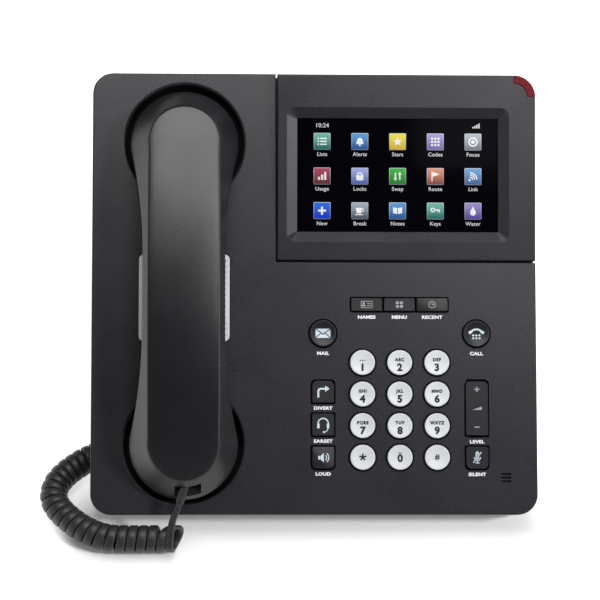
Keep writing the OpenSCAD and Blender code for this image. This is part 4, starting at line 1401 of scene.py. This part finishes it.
    def build(self) -> None:
        """Make both halves and dress what is in them."""
        self.build_back()
        self.build_face()
        dress(CAPSULE, "ear_capsule", "mouth_capsule")
        dress(SOCKET, "handset_socket")
        dress(CORD, "handset_plug", edge_mm=self.plug_edge_mm)


@dataclass
class CurlyCord:
    """The flat cord of the handset, wound into a long coil."""

    coil_d: float = 15.0
    width: float = 5.1
    lead_width: float = 3.3
    thickness: float = 2.4
    corner_share: float = 0.45
    corner_steps: int = 2
    pitch: float = 5.4
    tight_pitch: float = 4.6
    tight_from: float = 32.0
    tight_to: float = 62.0
    turn_fill: float = 0.955
    rise: float = 0.1
    turn_steps: int = 18
    route_steps: int = 24
    bend_reach: int = 20
    start_deg: float = 118.0
    end_in: float = 4.2
    end_kick: float = 6.6
    end_steps: int = 8
    sleeve_r: float = 2.3
    sleeve_deg: float = 18.0
    sleeve_out: float = 2.5
    arrive_steps: tuple[float, ...] = (12.0, 4.0, 0.0, -1.0)
    smooth_deg: float = 60.0
    coil_route: tuple[Point, ...] = (
        (-72.5, -116.4, 1.6), (-80, -115.6, 0.2), (-98, -115.6, 0), (-111, -114.8, 0),
        (-122.4, -110.2, 0), (-132.3, -102.7, 0), (-138.8, -95, 0), (-140.9, -88.6, 0),
        (-139.7, -81.7, 0), (-135.5, -75.2, 0), (-129, -69.2, 0), (-121.5, -64.2, 0),
        (-102, -54.4, 0), (-82, -45, 0), (-62, -34, 0), (-44, -20, 0), (-36, -4, 0))
    lead_route: tuple[Point, ...] = ((-74.9, -112.2, 26.5), (-76.3, -114.0, 21.5))
    tail_route: tuple[Point, ...] = (
        (-29.9, -6.2, 11), (-29.2, -2, 15.2), (-28.7, 5, 17.6), (-28.4, 12.5, 21.2),
        (-28.4, 17.3, 27.6), (-28.4, 18.6, 34))
    stretch_along: Point = (0.5, -0.75, 0.43)
    stretch_from: float = -80.0
    stretch_to: float = -20.0

    @staticmethod
    def curve(points: Sequence[Vector], steps: int) -> list[Vector]:
        """Run a smooth curve through points.

        Args:
            points: Points that the curve passes.
            steps: Pieces between two points.

        Returns:
            The finer points.
        """
        fine: list[Vector] = []
        last = len(points) - 1
        for k in range(last):
            a, b = points[max(k - 1, 0)], points[k]
            c, d = points[k + 1], points[min(k + 2, last)]
            for step in range(steps):
                t = step / steps
                fine.append(0.5 * (2 * b + (c - a) * t + (2 * a - 5 * b + 4 * c - d) * t ** 2
                                   + (3 * b - a - 3 * c + d) * t ** 3))
        return fine + [points[-1].copy()]

    @staticmethod
    def length(points: Sequence[Vector]) -> float:
        """Measure a path."""
        return sum((b - a).length for a, b in zip(points, points[1:]))

    def helix(self) -> tuple[list[Vector], list[Vector]]:
        """Wind the coil round its route.

        Returns:
            The points of the cord's middle line, and at each the direction of its width.
        """
        height = self.coil_d / 2 + self.rise
        corners = [Vector((x, y, height + lift)) for x, y, lift in self.coil_route]
        route = self.curve(corners, self.route_steps)
        marks = [0.0]
        for a, b in zip(route, route[1:]):
            marks.append(marks[-1] + (b - a).length)
        radius = (self.coil_d - self.thickness) / 2
        points: list[Vector] = []
        widths: list[Vector] = []
        turn, run = 0.0, self.end_in
        while run < marks[-1]:
            pull = self.end_kick * math.sin(math.pi * turn ** 2) ** 2 if turn < 1 else 0.0
            here = run - pull
            place = max(0, min(bisect_right(marks, here), len(marks) - 1) - 1)
            a, b = route[place], route[place + 1]
            ahead = (b - a).normalized()
            side = ahead.cross(DESK.outward).normalized()
            angle = math.radians(self.start_deg) + 2 * math.pi * turn
            away = (side * math.cos(angle) + side.cross(ahead) * math.sin(angle)) * radius
            points.append(a + ahead * (here - marks[place]) + away)
            tight = min(1.0, max(0.0, (run - self.tight_from) / (self.tight_to - self.tight_from)))
            pitch = self.pitch + (self.tight_pitch - self.pitch) * tight
            room = pitch * (1 - self.bend(route, place, self.bend_reach).dot(away))
            widths.append(ahead * min(1.0, self.turn_fill * room / self.width))
            turn += 1 / self.turn_steps
            run += pitch / self.turn_steps
        return points, widths

    @staticmethod
    def bend(route: Sequence[Vector], place: int, reach: int) -> Vector:
        """Measure how a route bends at a place.

        Args:
            route: Points of the route.
            place: Number of the point.
            reach: Points on both sides that are looked at.

        Returns:
            A direction to the inside of the bend, whose length is one over the radius.
        """
        first, last = max(0, place - reach), min(len(route) - 1, place + reach)
        middle = (first + last) // 2
        before, after = route[middle] - route[first], route[last] - route[middle]
        return (after.normalized() - before.normalized()) * (2 / (before.length + after.length))

    def path(self) -> tuple[list[Vector], list[Vector]]:
        """Join the lead, the coil and the tail.

        Returns:
            The cord's middle line from the handset to the base, and its width directions.
        """
        coil, coil_widths = self.helix()
        to_desk = FACE.matrix()
        low, high = FACE.box("handset_plug")
        turn = math.radians(self.sleeve_deg)
        inward = FACE.across * math.sin(turn) + FACE.upward * math.cos(turn)
        leave = to_desk @ Vector((low.x + self.sleeve_r * math.cos(turn),
                                  low.y + self.sleeve_r * math.sin(turn), (low.z + high.z) / 2)) / MM
        low, high = FACE.box("base_plug")
        arrive = to_desk @ Vector(((low.x + high.x) / 2, (low.y + high.y) / 2, low.z)) / MM
        skip = self.end_steps + 1
        lead = self.curve([leave + inward, leave - inward * self.sleeve_out,
                           *(Vector(point) for point in self.lead_route), coil[0], coil[1]],
                          self.end_steps)[:-skip]
        tail = self.curve([coil[-2], coil[-1], *(Vector(point) for point in self.tail_route),
                           *(arrive - FACE.outward * away for away in self.arrive_steps)],
                          self.end_steps)[skip:]
        thin = self.lead_width / self.width
        lead_widths = [(FACE.across * -thin).lerp(coil_widths[0], (k / len(lead)) ** 2)
                       for k in range(len(lead))]
        tail_widths = [coil_widths[-1].lerp(FACE.across * thin, k / len(tail)) for k in range(len(tail))]
        return lead + coil + tail, lead_widths + coil_widths + tail_widths

    def section(self) -> list[Span]:
        """Draw the flat section with its round edges.

        Returns:
            Its points, across the width and through the thickness.
        """
        corner = self.thickness * self.corner_share
        half_w, half_t = self.width / 2 - corner, self.thickness / 2 - corner
        points: list[Span] = []
        for quarter, (sx, sy) in enumerate(((1, 1), (-1, 1), (-1, -1), (1, -1))):
            for step in range(self.corner_steps + 1):
                angle = math.pi / 2 * (quarter + step / self.corner_steps)
                points.append((sx * half_w + corner * math.cos(angle),
                               sy * half_t + corner * math.sin(angle)))
        return points

    def rings(self, points: Sequence[Vector], widths: Sequence[Vector]) -> list[list[Vector]]:
        """Set the section across the path at each of its points.

        Args:
            points: The cord's middle line.
            widths: Directions of its width, as long as the share of the full width.

        Returns:
            The rings.
        """
        rings: list[list[Vector]] = []
        outline = self.section()
        last = len(points) - 1
        for step, (point, width) in enumerate(zip(points, widths)):
            ahead = (points[min(step + 1, last)] - points[max(step - 1, 0)]).normalized()
            wide = (width - ahead * width.dot(ahead)).normalized()
            thick = ahead.cross(wide)
            room = width.length
            rings.append([point + wide * (across * room) + thick * through for across, through in outline])
        return rings

    def build(self) -> None:
        points, widths = self.path()
        shape = Shape()
        shape.loft(self.rings(points, widths), capped=True)
        bmesh.ops.recalc_face_normals(shape.bm, faces=list(shape.bm.faces))
        piece = shape.make("handset_cord", DESK, CORD, self.smooth_deg)
        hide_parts("cord_lead", "cord_coil", "cord_tail")
        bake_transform(piece)
        points[0] * MM
        self.width * MM
        [point * MM for point in points]
        LOG.info("cord of %.2f m", self.length(points) * MM)


class Patch(Enum):
    """Colours of the screen's tiles, at the foot and at the top."""

    BLUE = (srgb(20, 76, 146), srgb(92, 160, 216))
    BRICK = (srgb(126, 44, 34), srgb(224, 142, 104))
    LILAC = (srgb(70, 92, 176), srgb(164, 176, 228))
    GREEN = (srgb(0, 120, 14), srgb(56, 180, 50))
    ROYAL = (srgb(0, 46, 200), srgb(30, 108, 234))
    YELLOW = (srgb(208, 170, 8), srgb(244, 228, 62))
    WINE = (srgb(98, 28, 36), srgb(174, 72, 92))
    SLATE = (srgb(66, 78, 92), srgb(168, 178, 188))
    VIOLET = (srgb(78, 60, 146), srgb(158, 140, 206))
    TEAL = (srgb(0, 100, 90), srgb(112, 190, 172))


@dataclass(frozen=True)
class Glow:
    """A lit patch of the screen, running from one colour at its foot to another at its top."""

    name: str
    foot: Colour
    top: Colour
    strength: float = 0.9
    unlit: Colour = (0.01, 0.01, 0.012)
    roughness: float = 0.12
    dot_mm: float = 0.4
    dot_drift: float = 0.2
    dot_rough: float = 0.1
    fade: Span = (-0.1, 1.1)

    def material(self) -> bpy.types.Material:
        """Make the material, or find it if it is made already.

        Returns:
            The material.
        """
        known = bpy.data.materials.get(self.name)
        if known is not None:
            return known
        made = bpy.data.materials.new(self.name)
        shader = Shader(made)
        patch = shader.node("ShaderNodeTexCoord").outputs["UV"]
        height = Signal(shader, shader.node("ShaderNodeSeparateXYZ", None, {0: patch}).outputs["Y"])
        dots = shader.noise(shader.point(), self.dot_mm, 1.0)
        share = height + (dots - 0.5) * self.dot_drift
        inputs = {
            "Base Color": (*self.unlit, 1),
            "Roughness": (dots - 0.5) * self.dot_rough + self.roughness,
            "Emission Color": shader.blend(share.ramp(*self.fade), self.foot, self.top),
            "Emission Strength": self.strength,
        }
        shader.finish(shader.node("ShaderNodeBsdfPrincipled", None, inputs).outputs[0])
        return made


TILE_RIM = Glow("tile_rim", srgb(120, 128, 140), srgb(206, 214, 224))
TILE_SIGN = Glow("tile_sign", srgb(236, 240, 244), srgb(250, 250, 250))
SCREEN_WORD = Glow("screen_word", srgb(214, 216, 218), srgb(224, 226, 228))


class Motif(Stencil):
    """White signs of the screen's tiles, about five millimetres wide."""

    def lines(self) -> None:
        """Draw three lines with dots before them."""
        for k in (-1, 0, 1):
            self.bar(0.7, 1.6 * k, 3.6, 0.7).disc(-2.1, 1.6 * k, 0.45)

    def dots(self) -> None:
        """Draw nine dots."""
        for k in range(9):
            self.disc((k % 3 - 1) * 1.75, (k // 3 - 1) * 1.75, 0.6)

    def chart(self) -> None:
        """Draw rising columns."""
        for k, size in enumerate((1.6, 2.8, 4.2)):
            self.bar((k - 1) * 1.7, size / 2 - 2.1, 1.1, size)

    def bell(self) -> None:
        """Draw a bell."""
        self.band(0, 0.5, 0.75, 1.5, 0, 180).polygon((-1.5, 0.5), (1.5, 0.5), (2.1, -1.4), (-2.1, -1.4))
        self.disc(0, -2.0, 0.55)

    def flag(self) -> None:
        """Draw a flag."""
        self.bar(-1.8, 0, 0.6, 5.2).polygon((-1.4, 2.5), (2.3, 1.2), (-1.4, -0.2))

    def star(self) -> None:
        """Draw a star of five points."""
        for k in range(5):
            tips: list[Span] = []
            for turn, size in ((-36, 1.1), (0, 2.7), (36, 1.1)):
                angle = math.radians(90 + 72 * k + turn)
                tips.append((size * math.cos(angle), size * math.sin(angle)))
            self.polygon((0, 0), *tips)

    def target(self) -> None:
        """Draw a ring round a disc."""
        self.band(0, 0, 2.2, 0.7).disc(0, 0, 1.0)

    def lock(self) -> None:
        """Draw a padlock."""
        self.bar(0, -0.9, 3.8, 2.8).band(0, 0.5, 1.3, 0.65, 0, 180)

    def plus(self) -> None:
        """Draw a plus sign."""
        self.bar(0, 0, 4.4, 1.1).bar(0, 0, 1.1, 4.4)

    def swap(self) -> None:
        """Draw arrows up and down."""
        for side in (-1, 1):
            self.bar(1.2 * side, -0.5 * side, 0.7, 3.0)
            self.polygon((0.1 + 1.2 * side - 1.1, side), (1.2 * side + 1.0, side), (1.2 * side, 2.5 * side))

    def waves(self) -> None:
        """Draw waves from a point."""
        self.disc(-1.9, -1.9, 0.6)
        for radius in (1.7, 2.9, 4.1):
            self.band(-1.9, -1.9, radius, 0.6, 5, 80)

    def cup(self) -> None:
        """Draw a cup."""
        self.polygon((-2.2, 1.6), (1.2, 1.6), (0.7, -1.4), (-1.7, -1.4)).band(1.2, 0.4, 0.8, 0.5, -90, 180)
        self.bar(-0.5, -2.1, 4.2, 0.5)

    def book(self) -> None:
        """Draw an open book."""
        for side in (-1, 1):
            self.polygon((0.2 * side, -1.7), (2.5 * side, -1.2), (2.5 * side, 2.0), (0.2 * side, 1.5))

    def key(self) -> None:
        """Draw a key."""
        self.band(-1.4, 0.6, 0.95, 0.65).bar(1.1, 0.6, 3.0, 0.6)
        self.bar(1.3, -0.1, 0.5, 1.0).bar(2.3, -0.2, 0.5, 1.2)

    def drop(self) -> None:
        """Draw a drop."""
        self.disc(0, -0.8, 1.6).polygon((-1.5, -0.3), (1.5, -0.3), (0, 2.6))


@dataclass(frozen=True)
class Tile:
    """One tile of the screen."""

    word: str
    patch: Patch
    motif: Callable[[Motif], None]


@dataclass
class Screen:
    """The lit menu on the black glass: fifteen tiles with words, and a line above them."""

    tile: float = 9.2
    corner_r: float = 0.5
    rim: float = 0.28
    column_dx: float = 20.6
    row_dy: float = 18.9
    top_row: float = 18.4
    columns: int = 5
    word_drop: float = 6.9
    word_h: float = 2.0
    word_weight: float = 0.012
    clock: str = "10:24"
    clock_rise: float = 8.8
    clock_h: float = 2.2
    signal_bars: int = 4
    signal_dx: float = 1.1
    signal_rise: float = 7.9
    signal_w: float = 0.7
    signal_h: float = 0.8
    signal_growth: float = 0.6
    film_t: float = 0.02
    rim_lift: float = 0.02
    word_lift: float = 0.03
    field_lift: float = 0.05
    sign_lift: float = 0.08
    tiles: tuple[Tile, ...] = (
        Tile("Lists", Patch.TEAL, Motif.lines),
        Tile("Alerts", Patch.BLUE, Motif.bell),
        Tile("Stars", Patch.YELLOW, Motif.star),
        Tile("Codes", Patch.VIOLET, Motif.dots),
        Tile("Focus", Patch.SLATE, Motif.target),
        Tile("Usage", Patch.WINE, Motif.chart),
        Tile("Locks", Patch.LILAC, Motif.lock),
        Tile("Swap", Patch.GREEN, Motif.swap),
        Tile("Route", Patch.BRICK, Motif.flag),
        Tile("Link", Patch.BLUE, Motif.waves),
        Tile("New", Patch.ROYAL, Motif.plus),
        Tile("Break", Patch.SLATE, Motif.cup),
        Tile("Notes", Patch.BLUE, Motif.book),
        Tile("Keys", Patch.TEAL, Motif.key),
        Tile("Water", Patch.VIOLET, Motif.drop),
    )

    def place(self, number: int) -> Vector:
        """Give the middle of a tile in the head's frame.

        Args:
            number: Number of the tile, row by row.

        Returns:
            The middle.
        """
        middle = HEAD.middle("display_glass")
        column, row = number % self.columns - self.columns // 2, number // self.columns
        return Vector((middle.x + column * self.column_dx, middle.y + self.top_row - row * self.row_dy, 0))

    def lay(self, shape: Stencil, name: str, finish: Glow, lift: float) -> None:
        """Lay flat signs on the glass as one piece."""
        shape.lay_on("display_glass", HEAD, lift, self.film_t)
        settle(shape.make(name, HEAD, finish), "display", "glass")

    def add_line(self, words: Stencil) -> None:
        """Write the line above the tiles: the time on the left, the strength of the signal on the right.

        Args:
            words: Stencil that takes the line.
        """
        first, last = self.place(0), self.place(self.columns - 1)
        Lettering.write(words, self.clock, first.x, first.y + self.clock_rise, self.clock_h, self.word_weight)
        for step in range(self.signal_bars):
            growth = step * self.signal_growth
            words.bar(last.x + step * self.signal_dx, first.y + self.signal_rise + growth / 2,
                      self.signal_w, self.signal_h + growth)

    def build(self) -> None:
        """Lay the tiles, their signs and the words."""
        rims, signs, words = Stencil(), Stencil(), Stencil()
        fields: dict[Patch, Stencil] = {}
        inner = self.tile - 2 * self.rim
        for number, tile in enumerate(self.tiles):
            middle = self.place(number)
            at = Matrix.Translation(middle)
            rims.add(Stencil().plate(self.tile, self.tile, self.corner_r).unwrap(), at)
            face = Stencil().plate(inner, inner, self.corner_r / 2)
            fields.setdefault(tile.patch, Stencil()).add(face.unwrap(), at)
            sign = Motif()
            tile.motif(sign)
            signs.add(sign.unwrap(), at)
            Lettering.write(words, tile.word, middle.x, middle.y - self.word_drop, self.word_h,
                            self.word_weight)
        self.add_line(words)
        self.lay(rims, "screen_rims", TILE_RIM, self.rim_lift)
        for patch, faces in fields.items():
            name = patch.name.lower()
            self.lay(faces, f"screen_{name}", Glow(f"tile_{name}", *patch.value), self.field_lift)
        self.lay(signs, "screen_signs", TILE_SIGN, self.sign_lift)
        self.lay(words.unwrap(), "screen_words", SCREEN_WORD, self.word_lift)


@dataclass
class DisplayHead:
    """The tilting head: bezel, back, glass, hinge pins and message lamp."""

    edge_mm: float = 0.35
    lamp_edge_mm: float = 1.0

    def build(self) -> None:
        """Dress the head's nodes and light its screen."""
        dress(HOUSING, "display_bezel")
        dress(PAN, "display_back", edge_mm=self.edge_mm)
        dress(GLASS, "display_glass")
        dress(PANEL, "display_panel")
        dress(STEEL, "display_pins")
        dress(LAMP, "message_lamp", edge_mm=self.lamp_edge_mm)
        Screen().build()


class DialSign(Stencil):
    """Dark signs of the dial that aren't letters."""

    def star(self) -> None:
        """Draw the star sign."""
        for arm in range(5):
            turn = 90 + 72 * arm
            out = Vector((math.cos(math.radians(turn)), math.sin(math.radians(turn))))
            self.bar(out.x, out.y, 2.0, 0.85, turn)

    def hash(self) -> None:
        """Draw the number sign."""
        for side in (-1, 1):
            self.bar(0.55 * side, 0, 0.5, 3.2, -8).bar(0, 0.55 * side, 2.7, 0.5)

    def dots(self) -> None:
        """Draw three dots in a row."""
        for k in (-1, 0, 1):
            self.disc(1.2 * k, 1.1, 0.35)


@dataclass
class DialPad:
    """Twelve pale keys with their figures and letters."""

    edge_mm: float = 0.25
    digit_h: float = 3.7
    digit_drop: float = 2.6
    digit_weight: float = 0.05
    letter_h: float = 1.6
    letter_rise: float = 1.55
    letter_weight: float = 0.065
    letter_squeeze: float = 0.92
    letter_spacing: float = 1.28
    zero_h: float = 3.75
    zero_drop: float = 0.5
    zero_weight: float = 0.045
    zero_bar: Span = (1.9, 0.45)
    zero_bar_rise: float = 2.3
    names: tuple[str, ...] = ("1", "2", "3", "4", "5", "6", "7", "8", "9", "star", "0", "hash")
    letters: tuple[str, ...] = ("", "ABC", "DEF", "GHI", "JKL", "MNO", "PQRS", "TUV", "WXYZ")

    def sign(self, name: str) -> DialSign:
        """Draw the print of one key about its middle.

        Args:
            name: The key's figure or word.

        Returns:
            The flat print.
        """
        sign = DialSign()
        if name == "star":
            sign.star()
        elif name == "hash":
            sign.hash()
        elif name == "0":
            Lettering.write(sign, name, 0, -self.zero_drop, self.zero_h, self.zero_weight)
            sign.bar(0, self.zero_bar_rise, *self.zero_bar)
        else:
            Lettering.write(sign, name, 0, -self.digit_drop, self.digit_h, self.digit_weight)
            Lettering.write(sign, self.letters[int(name) - 1], 0, self.letter_rise, self.letter_h,
                            self.letter_weight, self.letter_squeeze, self.letter_spacing)
        if name == "1":
            sign.dots()
        return sign

    def build(self) -> None:
        """Dress the keys and print them."""
        for name in self.names:
            node = f"key_{name}"
            dress(PEARL, node, edge_mm=self.edge_mm)
            middle = FACE.middle(node)
            sign = self.sign(name)
            sign.move(Vector((middle.x, middle.y, 0)))
            sign.lay_on(node, FACE)
            settle(sign.make(f"print_{name}", FACE, BLACK_PRINT), node, "dial")


class KeySign(Stencil):
    """Pale signs of the function keys."""

    def names(self) -> None:
        """Draw an index card."""
        self.disc(-1.6, 0.75, 0.6).band(-1.6, -0.95, 0.5, 1.0, 0, 180)
        for side in (-1, 1):
            self.bar(0, 1.75 * side, 6.2, 0.35).bar(2.95 * side, 0, 0.35, 3.5)
        self.bar(1.2, 0.55, 2.0, 0.4).bar(1.2, -0.55, 2.0, 0.4)

    def menu(self) -> None:
        """Draw four squares."""
        for k in range(4):
            self.bar((k % 2 - 0.5) * 2.2, (k // 2 - 0.5) * 2.0, 1.6, 1.4)

    def recent(self) -> None:
        """Draw a clock."""
        self.band(0, 0, 1.75, 0.4).bar(0, 0.5, 0.4, 1.2).bar(0.45, 0, 1.1, 0.4)

    def mail(self) -> None:
        """Draw an envelope."""
        self.polygon((-3.7, 2.5), (3.7, 2.5), (0, -0.1))
        for side in (-1, 1):
            self.polygon((4.05 * side, 2.1), (4.05 * side, -2.1), (1.35 * side, 0.25))
        self.polygon((-3.7, -2.5), (-1.0, -0.1), (0, -0.85), (1.0, -0.1), (3.7, -2.5))

    def call(self) -> None:
        """Draw a receiver over a few dots."""
        self.band(0, -1.1, 3.5, 1.0, 28, 124)
        for side in (-1, 1):
            self.bar(3.25 * side, 0.75, 1.9, 1.5, -28 * side)
        for k in range(6):
            self.disc((k % 3 - 1) * 1.7, -0.9 - 1.6 * (k // 3), 0.55)

    def divert(self) -> None:
        """Draw an arrow that turns to the right."""
        self.bar(-2.6, -1.5, 1.0, 3.2).band(-1.1, 0.1, 1.5, 1.0, 90, 90)
        self.bar(0, 1.6, 2.2, 1.0).polygon((1.1, 3.3), (1.1, -0.1), (3.5, 1.6))

    def earset(self) -> None:
        """Draw headphones with a microphone."""
        self.band(0, 0.6, 2.75, 0.7, 0, 180)
        for side in (-1, 1):
            self.bar(2.6 * side, -0.7, 1.3, 2.5)
        self.band(0.4, -1.9, 2.1, 0.45, -85, 85).disc(0.4, -4.0, 0.6)

    def loud(self) -> None:
        """Draw a horn with two waves."""
        self.bar(-2.2, 0, 1.1, 1.9).polygon((-1.5, 0.95), (-1.5, -0.95), (0.3, -2.5), (0.3, 2.5))
        self.band(0.1, 0, 1.7, 0.5, -48, 96).band(0.1, 0, 2.9, 0.5, -52, 104)

    def silent(self) -> None:
        """Draw a microphone that is crossed out."""
        self.disc(0, 2.3, 1.05).bar(0, 1.2, 2.1, 2.2).disc(0, 0.1, 1.05)
        self.band(0, 0.3, 1.75, 0.45, 180, 180).bar(0, -2.0, 0.5, 1.4).bar(0, -2.8, 2.2, 0.5)
        self.bar(0, 0.2, 7.2, 0.5, 52)

    def level(self) -> None:
        """Draw plus, a wedge and minus."""
        self.bar(0, 10.2, 2.8, 0.7).bar(0, 10.2, 0.7, 2.8).bar(0, -10.2, 2.8, 0.7)
        self.polygon((-2.6, -0.9), (2.6, -0.9), (2.6, 0.9))


@dataclass(frozen=True)
class KeyPrint:
    """One function key's word on the face and the sign on its cap."""

    node: str
    word: str
    drop: float
    sign: Callable[[KeySign], None]
    finish: Finish = ICE_PRINT


@dataclass
class FunctionKeys:
    """Ten dark keys with pale signs, and their words on the face."""

    edge_mm: float = 0.3
    word_h: float = 1.65
    word_weight: float = 0.045
    word_squeeze: float = 1.2
    word_lift: float = 0.02
    prints: tuple[KeyPrint, ...] = (
        KeyPrint("key_names", "NAMES", 6.7, KeySign.names, GREY_PRINT),
        KeyPrint("key_menu", "MENU", 6.7, KeySign.menu, GREY_PRINT),
        KeyPrint("key_recent", "RECENT", 6.7, KeySign.recent, GREY_PRINT),
        KeyPrint("key_mail", "MAIL", 10.7, KeySign.mail),
        KeyPrint("key_call", "CALL", 10.7, KeySign.call),
        KeyPrint("key_divert", "DIVERT", 8.75, KeySign.divert),
        KeyPrint("key_earset", "EARSET", 8.8, KeySign.earset),
        KeyPrint("key_loud", "LOUD", 8.7, KeySign.loud),
        KeyPrint("key_level", "LEVEL", 18.0, KeySign.level, GREY_PRINT),
        KeyPrint("key_silent", "SILENT", 8.9, KeySign.silent),
    )

    def build(self) -> None:
        """Dress the keys, print their signs and write the words."""
        words = Stencil()
        for item in self.prints:
            dress(DARK_KEY, item.node, edge_mm=self.edge_mm)
            middle = FACE.middle(item.node)
            sign = KeySign()
            item.sign(sign)
            sign.move(Vector((middle.x, middle.y, 0)))
            sign.lay_on(item.node, FACE)
            settle(sign.make(item.node.replace("key", "sign"), FACE, item.finish), item.node, "key")
            Lettering.write(words, item.word, middle.x, middle.y - item.drop, self.word_h,
                            self.word_weight, self.word_squeeze)
        words.lay_on("front_housing", FACE, self.word_lift)
        settle(words.make("face_words", FACE, WHITE_PRINT), "base", "housing")


@dataclass
class Stand:
    """The folding stand with its pins and pads."""

    edge_mm: float = 0.5
    pad_edge_mm: float = 0.3

    def build(self) -> None:
        """Dress the stand's nodes."""
        dress(PAN, "stand", edge_mm=self.edge_mm)
        dress(STEEL, "stand_pins")
        dress(RUBBER, "stand_pads", edge_mm=self.pad_edge_mm)


def main() -> None:
    """Build the studio and every part of the telephone, in order."""
    logging.basicConfig(level=logging.INFO, format="%(message)s")
    Studio().build()
    Housing().build()
    SpeakerPanel().build()
    DisplayHead().build()
    DialPad().build()
    FunctionKeys().build()
    Stand().build()
    Handset().build()
    CurlyCord().build()


if __name__ == "__main__":
    main()
